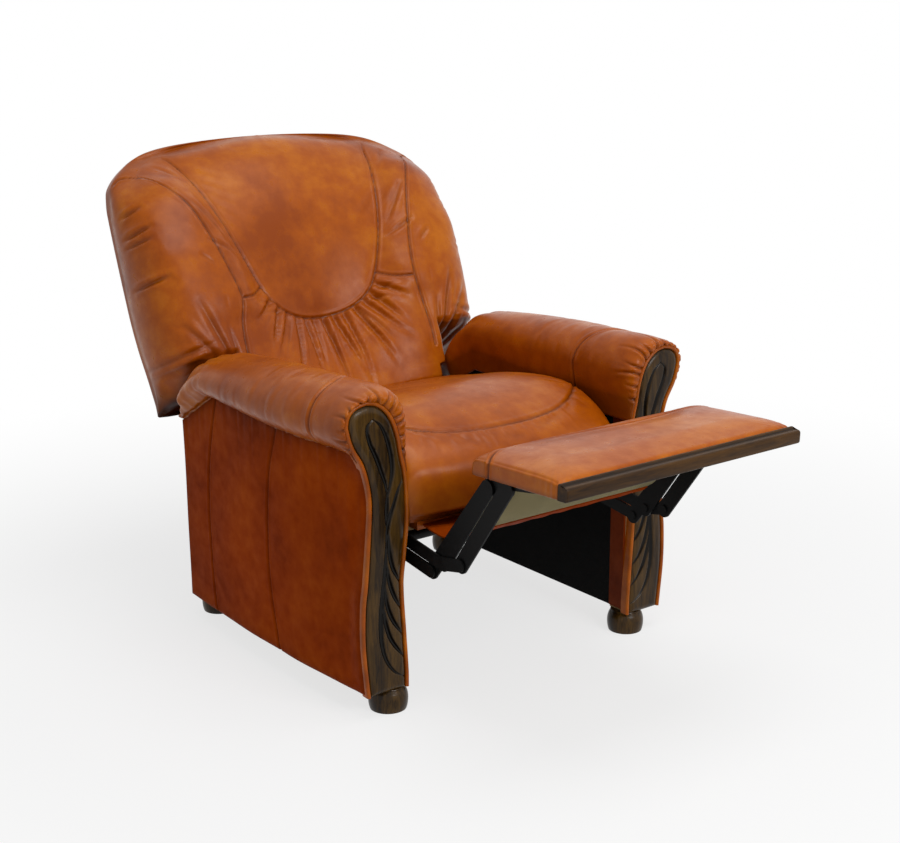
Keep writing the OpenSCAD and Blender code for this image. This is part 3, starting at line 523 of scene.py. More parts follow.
# By the record's material slots
FINISH = {
    "leather": cognac, "leather_dark": cognac_shaded, "walnut": walnut, "trim_wood": walnut_trim, "canvas": canvas,
    "frame_wood": polished_wood("PlanedBeechFrame", "#a5845a", "#d3b484", 0.7, 0.0, along=(0.15, 1, 1)),
    "lining": woven("BlackPolypropyleneLining", "#020202", "#0d0c0b", 1.2, 0.9),
    "black_steel": coated_steel("BlackPhosphatedSteel", "#040404", "#131314", 0.5, 0.0),
    "spring_steel": coated_steel("ZincPlatedSteel", "#8a8a8e", "#b4b4b8", 0.3, 1.0),
    "roller": coated_steel("BlackNylon", "#141414", "#242424", 0.5, 0.0),
}


def dress(obj, mat):
    obj.data.materials.clear()
    obj.data.materials.append(mat)


def place(obj, mat, body, slot, replaced=(), shade=None, fill=None):
    """Finishes a piece: material, smooth shading up to an angle in degrees, and body; the record slot and stuffing are
    not used.
    """
    dress(obj, mat)
    only(obj)
    if shade is None:
        bpy.ops.object.shade_smooth()
    else:
        bpy.ops.object.shade_smooth_by_angle(angle=radians(shade))
    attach(obj, body)
    if replaced:
        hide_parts(*replaced)


def both_sides(left, mat, slot, node_stem, shade=None, fill=None):
    """Finishes a piece of the left arm together with its mirror image."""
    right = linked(left.name.replace("left", "right"), left.data.copy())
    set_coords(right, coords(right) * (-1, 1, 1))
    right.data.flip_normals()
    for obj, side in ((left, "left"), (right, "right")):
        place(obj, mat, "base", slot, [node_stem + side], shade, fill)


# ---- back cushion
# Curves up the back, as thousandths of its length and of its half width or depth
WIDTH_KEYS = [
    (0, 957), (139, 974), (260, 992), (390, 1000), (746, 997), (799, 987), (835, 972), (877, 921), (911, 855),
    (938, 791), (965, 691), (983, 548), (995, 332), (1000, 150),
]
MID_KEYS = [
    (-104, 840), (0, 814), (87, 744), (174, 651), (253, 576), (347, 605), (521, 640), (694, 605), (816, 500),
    (910, 372), (965, 221), (1000, 35),
]
HEAD_KEYS = [
    (-104, 880), (87, 860), (174, 802), (253, 744), (312, 721), (387, 744), (523, 744), (661, 674), (795, 512),
    (910, 238), (965, 35), (1000, 24),
]
RIDGE_KEYS = [
    (-104, 930), (0, 965), (87, 988), (253, 965), (345, 1000), (458, 948), (587, 890), (719, 791), (813, 581),
    (868, 291), (920, 140), (965, 47), (1000, 24),
]
WING_KEYS = [(-104, 900), (0, 820), (521, 814), (642, 669), (747, 512), (835, 233), (885, 128), (965, 29), (1000, 18)]
HEAD_SEAM_KEYS = [(0, 286), (312, 286), (387, 365), (523, 441), (661, 505), (795, 564), (910, 625), (965, 691)]
WING_SEAM_KEYS = [
    (-104, 602), (153, 587), (253, 574), (345, 551), (458, 577), (587, 628), (719, 699), (813, 791), (870, 830),
]
HINGE_S = (HINGE_Y - BACK_ROOT_Y) * sin(LEAN) + (HINGE_Z - BACK_ROOT_Z) * cos(LEAN)
HINGE_T = -(HINGE_Y - BACK_ROOT_Y) * cos(LEAN) + (HINGE_Z - BACK_ROOT_Z) * sin(LEAN)
# The hollow at the cushion's rear: how far up the low rail, the wing boards, the frame and the panel reach
RAIL_TOP, BOARDS_TOP, FRAME_TOP, PANEL_TOP = 57, 430.5, 512, 551
FRAME_DEEP, PANEL_DEEP = 38.2, 8.2
REAR_ROUND = 7
UNDER_WING_SLOPE = 141 / 83
NO_LIMIT = 1000.0


def back_section(s):
    """Half an outline of the back, from the middle of its front to that of its rear, and how much of it shows."""
    def read(keys, size):
        return float(shaped(keys, s, BACK_LEN, size))

    below = s < 0
    seam_in, edge_in, ledge, side_share, rear = (16, 5, 3, 0.55, FRAME_DEEP) if below else (40, 44, 6, 0.36, 0.0)
    hw = BACK_LOW_HALF if below else read(WIDTH_KEYS, BACK_HALF)
    wing_x = min(read(WING_SEAM_KEYS, BACK_HALF), hw - seam_in)
    head_x = min(read(HEAD_SEAM_KEYS, BACK_HALF), wing_x - 12)
    edge_x = hw - edge_in
    head, wing = read(HEAD_KEYS, BACK_DEPTH), read(WING_KEYS, BACK_DEPTH)
    middle = [(-head_x, head), (0, read(MID_KEYS, BACK_DEPTH)), (head_x, head)]
    knots = middle + [(wing_x, read(RIDGE_KEYS, BACK_DEPTH)), (hw - 18, wing), (hw, wing * 0.55)]
    # the cushion steps back where it leaves the seat's width, and keeps clear of the swing and of the arms
    step = wing_x + 4 if below else min(max(BACK_LOW_HALF - 1, wing_x + 6), hw - 30)
    step_end = step + ledge
    r = SWING_R + 5
    swing = NO_LIMIT if s - HINGE_S > r else HINGE_T - sqrt(r * r - (s - HINGE_S) ** 2)
    wedge = NO_LIMIT if below else max(2.5, UNDER_WING_SLOPE * s)
    xs = np.linspace(0, step, 46)[:-1], np.linspace(step, step_end, 3)[:-1], np.linspace(step_end, edge_x, 20)
    xs = np.concatenate(xs)
    ts = np.minimum(keyed(knots, xs), swing)
    ts = np.where(xs > step, np.minimum(ts, wedge), ts)
    front = columns(xs, ts)
    edge_t = ts[-1]
    side_t = edge_t * side_share
    # the front runs on into the wing's round edge without a break
    lead = (ts[-1] - ts[-2]) / (xs[-1] - xs[-2]) if s > 60 else 0.0
    reach = 0.6 * (hw - edge_x)
    bend = [(edge_x, edge_t), (edge_x + reach, edge_t + reach * lead)]
    bend = np.array(bend + [(hw, side_t + 0.45 * (edge_t - side_t)), (hw, side_t)])
    v = np.linspace(0, 1, 19)[1:, None]
    corner = (1 - v) ** 3 * bend[0] + 3 * (1 - v) ** 2 * v * bend[1] + 3 * (1 - v) * v**2 * bend[2] + v**3 * bend[3]
    low = rear + min(REAR_ROUND, 0.4 * (side_t - rear))
    side = columns(np.full(11, hw), np.linspace(side_t, low, 12)[1:])
    round_rear = arc(hw - REAR_ROUND, low, REAR_ROUND, rear - low, 0, 90, 4)[1:]
    panel = hw - 40 if below else (BACK_LOW_HALF - 5 if s < RAIL_TOP else hw - 43)
    panel_deep = FRAME_DEEP if below else (PANEL_DEEP if s < PANEL_TOP else 0.0)
    inside = min(NO_LIMIT if RAIL_TOP < s < BOARDS_TOP else BACK_LOW_HALF - 6, panel - 1)
    deep = FRAME_DEEP if s < FRAME_TOP else panel_deep
    rim = columns(np.linspace(hw - REAR_ROUND, panel + 1, 6)[1:], np.full(5, rear))
    hollow = [(panel, panel_deep), (inside, panel_deep), (inside - 1, deep), (head_x * 0.5, deep), (0, deep)]
    return np.vstack([front, corner, side, round_rear, rim, hollow]), len(front) + len(corner) + len(side)


head_seam = [(0, 146), (64, 154), (112, 180), (143, 223), (173, 301), (198, 381), (221, 458), (245, 524), (271, 556)]
wing_seam = [
    (230, 40), (230, 88), (225, 146), (216, 199), (226, 264), (246, 338), (274, 414), (310, 468), (335, 490),
    (361, 496), (382, 481),
]
join_seam = [(143, 223), (180, 205), (216, 199)]


def flip_x(line):
    return [(-x, y) for x, y in line]


def make_back():
    """Stuffs the back: the hide over its foam, held down at the seams."""
    rows = np.concatenate([
        np.linspace(BACK_LOW, -0.5, 11), [0.5], np.linspace(5, 505, 92), np.linspace(509, 556, 13),
        np.linspace(559, BACK_LEN, 8),
    ])
    sections = [back_section(s) for s in rows]
    rings = [ring_at(half, s) for (half, _), s in zip(sections, rows)]
    obj, local, j = ring_mesh("back_leather", rings, back_to_chair)
    _, up, thick = local.T
    padded = on_show(j, sections[0][1]) & (thick > 20)
    seams = [flip_x(head_seam)[::-1] + head_seam[1:], wing_seam, flip_x(wing_seam), join_seam, flip_x(join_seam)]
    d, _ = seam_reach(local[:, :2], seams)
    swell = padded * ease((thick - 20) / 26)
    raised(obj, swell * (stuffed(d, 6.5, 30.0) - 3.0))
    settled(obj, bell(from_shoulder(local[:, :2]), 20), 40)
    inflate(obj, padded, d, 6.0, np.maximum(1 - ease((up + 5) / 25), ease((20 - thick) / 15)), 3.2, 9)
    finish_back(obj, local, swell, seams)


# Gathers below the head panel: place along its seam from the middle, and length
GATHERS = [
    (-141, 80), (-116, 104), (-92, 132), (-67, 150), (-44, 176), (-21, 160), (3, 182), (26, 158), (50, 170), (75, 146),
    (99, 128), (122, 104), (145, 78),
]
# Creases of each half as (x, up, x, up, depth, half width)
STRIP_FOLDS = [
    (258, 415, 203, 333, 2.8, 4), (253, 330, 190, 298, 3.0, 4), (243, 402, 214, 366, 2.0, 3.5),
    (281, 298, 256, 277, 2.4, 4), (131, 184, 174, 191, 2.2, 3.5), (103, 166, 160, 166, 2.4, 3.5),
    (88, 147, 134, 74, 3.0, 4), (283, 508, 246, 473, 2.0, 4),
]
FAN_FOLDS = [
    (262, 60, 314, 206, 4.4, 6), (273, 54, 352, 164, 4.4, 6), (286, 50, 366, 102, 3.6, 5), (254, 80, 262, 148, 2.8, 5),
]
EDGE_FOLDS = [
    (394, 404, 362, 420, 3.8, 3.6), (394, 360, 358, 376, 4.6, 3.8), (394, 342, 364, 351, 4.0, 3.6),
    (394, 256, 356, 266, 4.4, 4.0),
]
ROLL_FOLDS = [(390, 96, 297, 119, 4.2, 5), (380, 78, 285, 102, 3.8, 5), (330, 66, 262, 84, 3.0, 5)]


def from_shoulder(plan):
    """Distance from the place where the ridge of the wing turns over to the top."""
    return np.hypot(np.abs(plan[:, 0]) - 335, plan[:, 1] - 490)


def on_head_panel(plan):
    edge = np.interp(plan[:, 1], *np.transpose(head_seam)[::-1])
    return (np.abs(plan[:, 0]) < edge) & (plan[:, 1] > head_seam[0][1])


def finish_back(obj, local, swell, seams):
    """Sews the seams and lays the gathers and creases on the stuffed back."""
    x, up, thick, shown = refine(obj, x=local[:, 0], up=local[:, 1], thick=local[:, 2], shown=swell)
    plan = columns(x, up)
    # where the hide turns over the top and the sides, a seam stays as wide along it as on the front
    facing = np.abs(normals(obj) @ np.array([0, -cos(LEAN), sin(LEAN)]))
    d = seam_reach(plan, seams)[0] / np.clip(facing, 0.15, 1)
    d_u, u = seam_reach(plan, seams[:1])
    middle = SEAM_STEP * np.hypot(*(spaced(seams[0], SEAM_STEP) - head_seam[0]).T).argmin()
    ply = np.zeros(len(x))
    for k, (at, long) in enumerate(GATHERS):
        off = (u - middle - at - 0.08 * d_u * sin(2.1 * k)) * (1 + d_u / 150)
        fade = ease((d_u + 2) / 12) * ease((1.15 * long - d_u) / (0.8 * long))
        deep = 5.2 + 1.3 * sin(2.3 * k)
        ply += fade * ditch(np.abs(off), deep, 5.6, 0.5 * deep, 11.5, 6.5)
    ply *= ~on_head_panel(plan) & (up < 235) & (np.abs(x) < 225)
    creases = STRIP_FOLDS + FAN_FOLDS + ROLL_FOLDS + laid(EDGE_FOLDS, 1, 0.3)
    creases += laid(STRIP_FOLDS + FAN_FOLDS, -1, 0.8) + laid(ROLL_FOLDS, -1, 1) + laid(EDGE_FOLDS, -1, 1.3)
    crumple, marked = folds(plan, creases)
    # creases fade out on the thin sides of the wings
    on_front = 1 - ease((np.abs(x) - 382) / 8) * (1 - ease((thick - 50) / 40))
    crumple, marked = crumple * on_front, marked * on_front
    seam = ditch(d, 3.4, 2.6, 1.5, 5.6, 2.6) * (1 - 0.7 * bell(from_shoulder(plan), 14))
    raised(obj, shown * (seam + ply + crumple))
    # painted shade in the seams, creases and gathers
    shade_and_tone = seam_shade(d, 0.75, 1.9, 0.07) + 0.35 * marked + 0.05 * np.clip(-ply, 0, 6)
    # painted shade under the wings and along the lower rear corners, and a little over the rear and the thin sides
    wide = ease((np.abs(x) - 240) / 25)
    under_wing = bell(1.7 * up - thick, 9) * (up < 92) * (up > 0)
    low = 0.6 * (1 - ease((up - 10) / 90)) * (1 - ease((thick - 40) / 30))
    mark_shade_and_tone(obj, shade_and_tone * shown + wide * (0.55 * under_wing + low) + 0.15 * (1 - shown))
    place(obj, cognac, "back", "leather", ["back_cushion"], fill=0.8)


# ---- seat cushion
SEAT_Y0 = -20.0
UPRIGHT = radians(12)
SEAT_Y1 = HINGE_Y + SWING_R * cos(UPRIGHT)
SEAT_TOP_KEYS = [
    (0, 50), (14, 250), (26, 490), (42, 600), (80, 745), (122, 850), (182, 950), (246, 1000), (398, 956), (640, 744),
    (880, 531), (1000, 300),
]
SEAT_THICK = 160
SEAT_HALF = 256.0
seat_seam = [(0, 36), (120, 43), (190, 66), (240, 109), (256, 160)]
seat_seam = flip_x(seat_seam)[:0:-1] + seat_seam
# Pulls in the seat's hide, from its corners and across its front band
SEAT_FOLDS = [(235, 96, 150, 34, 1.8, 5), (225, 190, 180, 300, 1.4, 7), (246, 240, 236, 380, 1.6, 6)]
SEAT_FOLDS += laid(SEAT_FOLDS, -1, 1)
SEAT_FOLDS += [(-120, 30, -60, 12, 1.4, 5), (60, 22, 140, 34, 1.4, 5), (-30, 18, 30, 14, 1.2, 5)]


def seat_top(y):
    top = SEAT_H + float(shaped(SEAT_TOP_KEYS, y - SEAT_Y0, SEAT_Y1 - SEAT_Y0, SEAT_THICK))
    if y > HINGE_Y:
        top = min(top, HINGE_Z + sqrt(max(1, SWING_R**2 - (y - HINGE_Y) ** 2)))
    return top


def seat_section(y):
    """Closed outline of the cushion across the seat, bowed forward near the nose, and how much of half of it shows."""
    z0 = SEAT_H + 0.3
    z1 = max(seat_top(y), z0 + 5)
    w = SEAT_HALF - 6 * float(ease((y - HINGE_Y + 70) / 40))
    r = min(42, (z1 - z0) * 0.6)
    tuck = 5 * float(ease((z1 - z0) / 80))
    fs = np.linspace(0, 1, 44)[:-1]
    top = columns((w - r) * fs, z1 + 5 * (1 - fs**2) * float(ease((HINGE_Y - y) / 60)))
    corner = arc(w - r, z1 - r, r, r, 90, 0, 12)
    fs = np.linspace(1, 0, 18)[1:]
    side = columns(w - tuck * np.sin(pi * (1 - fs) * 0.75), z0 + fs * (z1 - r - z0))
    under = [(w - 8, z0), (w * 0.66, z0), (w * 0.33, z0), (0, z0)]
    ring = ring_at(np.vstack([top, corner, side, under]), y)
    ring[:, 1] -= 30 * (1 - (ring[:, 0] / w) ** 2) * (1 - float(ease((y - SEAT_Y0) / 110)))
    return ring, len(top) + len(corner) + len(side)


def make_seat():
    """The seat's hide, with its front band sewn on in a curve."""
    # rings come closer together where the nose is steep
    fine = np.linspace(SEAT_Y0, SEAT_Y1, 2400)
    tops = np.array([seat_top(y) for y in fine])
    run = np.concatenate([[0], np.cumsum(np.hypot(np.diff(fine), np.diff(tops)))])
    rows = np.interp(np.arange(0, run[-1], 5.2), run, fine)
    sections = [seat_section(y) for y in rows]
    obj, local, j = ring_mesh("seat_leather", [ring for ring, _ in sections])
    # seams and folds are drawn on the plan before the rings are bowed
    x, y, z = local[:, 0], np.repeat(rows, len(sections[0][0])), local[:, 2]
    top = on_show(j, sections[0][1]) & (z > SEAT_H + 8)
    d, _ = seam_reach(columns(x, y), [seat_seam])
    raised(obj, np.where(top, stuffed(d, 3.5, 24.0) - 1.0, 0.0))
    inflate(obj, top, d, 4.0, np.where(np.abs(x) > 250, 0.9, 0), 2.6, 6)
    x, y, z, shown = refine(obj, x=x, y=y, z=z, shown=top.astype(float))
    plan = columns(x, y)
    d, u = seam_reach(plan, [seat_seam])
    # on the steep nose the seam's distance is measured over the hide
    slope = np.interp(y, rows, np.gradient(np.array([seat_top(v) for v in rows]), rows))
    band = y < np.interp(x, *np.transpose(seat_seam))
    d = np.where(band, d * (1 + np.clip(slope, 0, 6) ** 2) ** 0.35, d)
    small = wave(u + 11 * sway(u, 1.0), 27.0) * np.exp(-d / 20.0) * ease(d / 4)
    nose, nose_dip = folds(plan, SEAT_FOLDS)
    rear = wave(x + 6 * np.sin(x / 23), 34.0) * np.exp(-((SEAT_Y1 - y) / 60.0)) * 1.4
    seam = ditch(d, 2.6, 2.4, 1.2, 5.4, 2.4)
    raised(obj, shown * (seam + np.where(band, 1.0, 0.25) * small + rear + nose))
    # painted shade in the seam and the nose's creases, and darker towards the foot of the cushion
    shade_and_tone = seam_shade(d, 0.7, 1.9, 0.05) + 0.3 * nose_dip
    mark_shade_and_tone(obj, shade_and_tone * shown + 0.5 * (1 - ease((z - SEAT_H) / 90)))
    place(obj, cognac, "seat", "leather", ["seat_cushion"], fill=0.85)


# ---- arms
# Curves along the arm, in thousandths
SWELL_KEYS = [(0, 0), (250, 800), (405, 1000), (600, 950), (1000, 350)]
RIDGE_Y_KEYS = [(0, 1000), (250, 960), (500, 900), (720, 800), (820, 690), (880, 450), (940, -60), (1000, -540)]
PANEL_LOW = 46.0
BULB = np.array([343.0, 520.0])
# Inner and outer edge of the carved facing, from the foot up to the top of its bulb, as (out, up)
FACE_IN = np.array([
    (276, 44), (276, 74), (280, 144), (285, 242), (280, 289), (272.5, 358), (273.5, 420), (277, 450), (284, 480),
    (290, 512), (300, 541), (313, 560), (332, 573.5), (349, 577.4),
])
FACE_OUT = np.array([
    (350.7, 44), (353, 66), (359.5, 141), (358, 212), (352, 258), (344, 350), (341.5, 402), (346, 439), (357, 476),
    (377, 511), (386, 541), (386, 553), (381, 565), (369, 573.5), (351, 577.4),
])
LAP = 44


def panel_x(y):
    return ARM_OUTER + shaped(SWELL_KEYS, np.asarray(y, float) - ARM_Y0, ARM_LEN, 15)


def pad_under(y):
    return np.interp(
        y,
        [ARM_Y0 - 60, ARM_Y0 + 0.38 * ARM_LEN, ARM_Y0 + 0.75 * ARM_LEN, PAD_REAR_Y, PAD_REAR_Y + 60],
        [ARM_H, ARM_H, ARM_H + 13, ARM_H - 66, ARM_H - 98],
    )


def pad_ridge(y):
    return ARM_H + shaped(RIDGE_Y_KEYS, y - ARM_Y0, PAD_REAR_Y - ARM_Y0, 119)


def face_outer(z):
    """How far out the facing's edge is at a height below its bulb."""
    line = resampled(FACE_OUT, 200)[:150]
    return np.interp(z, line[:, 1], line[:, 0])


def pad_section(y):
    """Closed outline of the arm pad: outer foot, over the roll, down the inner lap, back along the box."""
    z0 = float(pad_under(y))
    z1 = max(float(pad_ridge(y)) - 6, z0 + 16)
    h = z1 - z0
    px = float(panel_x(y))
    x_top = (ARM_INNER + px) / 2 + 1
    x_out = px + 2 + 40 * min(1, h / 60)
    x_in = ARM_INNER - 14 * min(1, h / 60)
    belly = z0 + h * 0.42
    a = np.radians(np.linspace(-62, 90, 58))
    up = np.where(a < 0, 0.42 * h * np.sin(a) / sin(radians(62)), 0.58 * h * np.sin(a))
    outer = columns(x_top + (x_out - x_top) * np.cos(a), belly + up)
    outer[:, 0] = np.where(a < 0, np.maximum(outer[:, 0], px + 1), outer[:, 0])
    inner = arc(x_top, belly, x_top - x_in, 0.58 * h, 90, 180, 34)[1:]
    zs = np.linspace(belly, z0 - LAP, 26)[1:]
    lapped = columns(x_in + 9 * ease((belly - zs) / (belly - z0 + LAP)), zs)
    box = ARM_INNER - 1.4
    foot = [(box, z0 - LAP), (box, z0 - LAP / 2), (box, z0), (ARM_INNER + 20, z0), (px - 25, z0), (px + 0.6, z0)]
    return np.vstack([outer, inner, lapped, foot]), len(outer) + len(inner) + len(lapped)


def bulb_angle(points):
    """Degrees round the middle of the facing's bulb: 0 outward, 90 up, 180 inward, up to 270 below."""
    return (np.degrees(np.arctan2(points[:, 1] - BULB[1], points[:, 0] - BULB[0])) + 90) % 360 - 90


def facing_outline(count):
    """Points round the facing from the foot up its outer edge and down its inner edge, and each one's outward way."""
    line = np.vstack([resampled(FACE_OUT, count), resampled(FACE_IN, count)[::-1]])
    t = np.gradient(line, axis=0)
    t /= np.linalg.norm(t, axis=1)[:, None]
    return line, columns(t[:, 1], -t[:, 0])


def facing_edge(points, grow):
    """Where the line from the bulb's middle through each point meets the facing's outline, grown."""
    line, across = facing_outline(300)
    grown = (line + grow * across)[line[:, 1] > 425]
    angle = bulb_angle(grown)
    order = np.argsort(angle)
    at = bulb_angle(points)
    return np.column_stack([np.interp(at, angle[order], grown[order, c]) for c in (0, 1)])


# Pleats round the welt: degrees round the bulb and length in millimetres
PLEATS = [
    (-14, 18), (4, 30), (21, 22), (38, 38), (55, 28), (71, 46), (87, 30), (103, 48), (119, 34), (135, 50), (151, 36),
    (167, 44), (184, 30), (203, 24),
]
# How far the roll stands forward of a plain turn, by degrees round the bulb
ROLL_FORWARD = [(-60, -8), (0, -6), (45, 6), (90, 12), (135, 11), (180, 7), (220, 5)]
# Where the roll has turned over the arm's front, the length of hide that this takes, and where it closes
TURNED_Y = 20
TURN_LONG = 58.0
CLOSED_Y = -13.5


def make_arm_pad():
    """The roll along the arm, drawn over its front in pleats and closed behind the facing."""
    tail = np.concatenate([np.linspace(TURNED_Y, 560, 118), np.linspace(564, PAD_REAR_Y, 9)])
    base, shown = pad_section(TURNED_Y)
    hidden = np.arange(len(base)) >= shown
    edge = facing_edge(base, 8.2)
    edge[hidden] = base[hidden]
    bulge = np.interp(bulb_angle(base), *np.transpose(ROLL_FORWARD))
    rings, run = [at_y(edge, CLOSED_Y)], [-8.0]
    for t in np.linspace(0, 1, 26)[:-1]:
        y = -27 + 47 * (1 - cos(pi * t / 2)) - bulge * sin(pi * t)
        y = np.where(hidden, np.maximum(y, CLOSED_Y), y)
        rings.append(at_y(edge + (base - edge) * sin(pi * t / 2), y))
        run.append(TURN_LONG * t)
    for y in tail:
        rings.append(at_y(pad_section(y)[0], y))
        run.append(TURN_LONG + y - TURNED_Y)
    obj, local, j = ring_mesh("arm_pad_leather_left", rings)
    x, y, z = local.T
    outside = (j < shown).astype(float)
    x, y, z, run, shown = refine(obj, x=x, y=y, z=z, run=np.repeat(run, len(base)), shown=outside)
    angle = bulb_angle(columns(x, z))
    radial = np.hypot(x - BULB[0], z - BULB[1])
    dips, lifts = np.zeros(len(x)), np.zeros(len(x))
    for at, long in PLEATS:
        off = np.radians(angle - at - 3 * np.sin(run / 17.0 + at)) * radial
        fade = ease((1.35 * long - run) / long) * ease((run + 3) / 8)
        dips = np.maximum(dips, bell(off, 2.4) * fade)
        lifts = np.maximum(lifts, bell(np.abs(off) - 6.5, 4.0) * fade)
    # the cross seam sits over the roll, leaning forward on the inner side
    d = np.abs(y - np.interp(x, [255, 300, 343, 420], [134, 104, 80, 62]))
    seam = ditch(d, 2.4, 2.8, 1.2, 6, 3)
    rear = 2.4 * wave(x + 8 * np.sin(x / 19), 30.0) * ease((y - 400) / 110) * ease((PAD_REAR_Y - y) / 40)
    over = np.maximum(z - np.interp(y, tail, pad_under(tail)), 0)
    lower = wave(y + 9 * sway(y, 5.0), 38.0) * np.exp(-over / 26.0)
    crimps = 1.2 * lower * (x > 345) * ease((y - 30) / 30)
    # broad pulls slant across the roll towards the seam
    pulls = 0.8 * np.sin((y + 1.2 * x) / 19.0 + sway(y, 8.0)) * bell(y - 180, 120) * ease((z - 520) / 40)
    sewn = run > TURN_LONG - 20
    raised(obj, shown * (1.3 * lifts - 3.2 * dips + rear + crimps + stuffed(d, 2.2, 22.0) + pulls + seam * sewn))
    # painted shade in the seam and the pleats, under the roll where it meets the side panel, and where it closes
    # behind the facing
    shade_and_tone = 0.65 * bell(d, 1.8) * sewn + 0.5 * dips
    mark_shade_and_tone(obj, shade_and_tone + 0.45 * np.exp(-over / 8.0) + 0.4 * np.exp(-np.maximum(run, 0) / 4.0))
    both_sides(obj, cognac, "leather", "arm_pad_", fill=0.8)


# The two seams of the side panel as (along, up)
side_seams = [
    [(457, 495), (492, 368), (504, 259), (499, 153), (487, 46)],
    [(225, 495), (259, 394), (272, 246), (264, 146), (243, 46)],
]
# The side panel's front edge closes on the welt in three rows, as (share of the way, y)
WELT_ROWS = [(1.0, -23.5), (0.9, -20.5), (0.5, -16.5)]


def make_side_panel():
    """Padded hide over the arm's outer board, with its two seams and the turned-in rear edge."""
    ys = np.linspace(ARM_Y0 + 0.3, ARM_Y1 - 5.3, 210)
    rows = []
    for y in ys:
        zs = np.linspace(PANEL_LOW, float(pad_under(y)) - 0.5, 110)
        near = np.maximum(353.6, face_outer(zs) + 8)
        x = near + (float(panel_x(y)) - near) * float(ease((y - ARM_Y0) / 34))
        rows.append(at_y(columns(x, zs), y))
    x, _, zs = rows[0].T
    welt = face_outer(zs) + 8.3
    rows = [at_y(columns(x + k * (welt - x), zs), y) for k, y in WELT_ROWS] + rows
    local = np.vstack(rows)
    _, y, z = local.T
    d, _ = seam_reach(local[:, 1:], side_seams)
    under_pad = np.maximum(np.interp(y, ys, pad_under(ys)) - z, 0)
    edge = np.minimum(np.minimum(z - PANEL_LOW, y + 24), ARM_Y1 - 5 - y)
    puff = stuffed(d, 1.6, 16.0) - 2.2 * bell(d, 2.6) + 0.8 * bell(d - 6, 3)
    slack = 0.8 * np.sin(y / 61.0 + 0.6) * np.sin(z / 83.0) + 0.5 * np.sin(y / 27.0 + z / 44.0)
    top_gather = 0.9 * wave(y + 7 * sway(y, 4.0), 33.0) * np.exp(-under_pad / 40.0)
    local[:, 0] += -3.2 * bell(edge, 4.0) + puff + slack + top_gather
    faces = [(a, d, c, b) for a, b, c, d in grid_faces(len(rows), len(zs))]
    obj = new_mesh("side_leather_left", to_frame(local), faces)
    # painted shade under the pad's overhang, along the tucked-in edges and in the seams, over a mottled tone
    shade = 0.55 * np.exp(-under_pad / 18.0) + 0.4 * np.exp(-np.maximum(edge, 0) / 9.0)
    shade += 0.1 + 0.1 * np.sin(y / 97.0 + 1.0) * np.sin(z / 121.0)
    mark_shade_and_tone(obj, seam_shade(d, 0.55, 2.2, 0.06) + shade, 0.9)
    modify(obj, "SOLIDIFY", thickness=0.0045, offset=-1.0, use_even_offset=False)
    outward(obj)
    both_sides(obj, cognac_shaded_side, "leather", "side_panel_", 50, 0.9)


# Gouge cuts of the facing, as their middle lines and widths
CARVING = [
    ([(339, 553), (351, 541), (347, 515), (334, 486), (323, 457), (314, 429), (311, 405)], 10),
    ([(339, 553), (325, 541), (315, 524), (307, 501), (302, 477), (301, 453), (305, 431), (311, 405)], 10),
    ([(311, 418), (313, 385), (314, 352)], 10),
    ([(277, 438), (287, 422), (297, 396), (306, 373), (312, 350), (314, 325), (316, 300)], 9),
    ([
        (314, 345), (316, 305), (319, 269), (324, 233), (327, 204), (329, 174), (327, 139), (318, 106), (301, 81),
        (279, 66),
    ], 11),
    ([(310, 345), (308, 307), (301, 276), (284, 243)], 10),
    ([(315, 290), (309, 252), (299, 223), (283, 194)], 10),
    ([(320, 251), (314, 208), (303, 179), (281, 146)], 10),
    ([(325, 215), (318, 175), (306, 141), (279, 103)], 10),
]
CARVED_DEEP = 6.4
FACING_Y = -33


def flute(points, line, width):
    """Depth from 0 to 1 of a gouge cut along a line, pointed at both ends."""
    q = spaced(line, 0.8)
    half = width / 2 * np.sin(pi * np.clip(np.linspace(0, 1, len(q)), 0.03, 0.97)) ** 0.5
    depth = np.zeros(len(points))
    for p, h in zip(q, half):
        r = np.hypot(points[:, 0] - p[0], points[:, 1] - p[1])
        depth = np.maximum(depth, np.clip(1 - (r / h) ** 2, 0, 1) ** 1.3 * h * 2 / width)
    return depth


def carved(points):
    """A long looped leaf under the bulb, whose stem runs down past four leaves to the foot."""
    return np.maximum.reduce([flute(points, line, 1.15 * width) for line, width in CARVING])


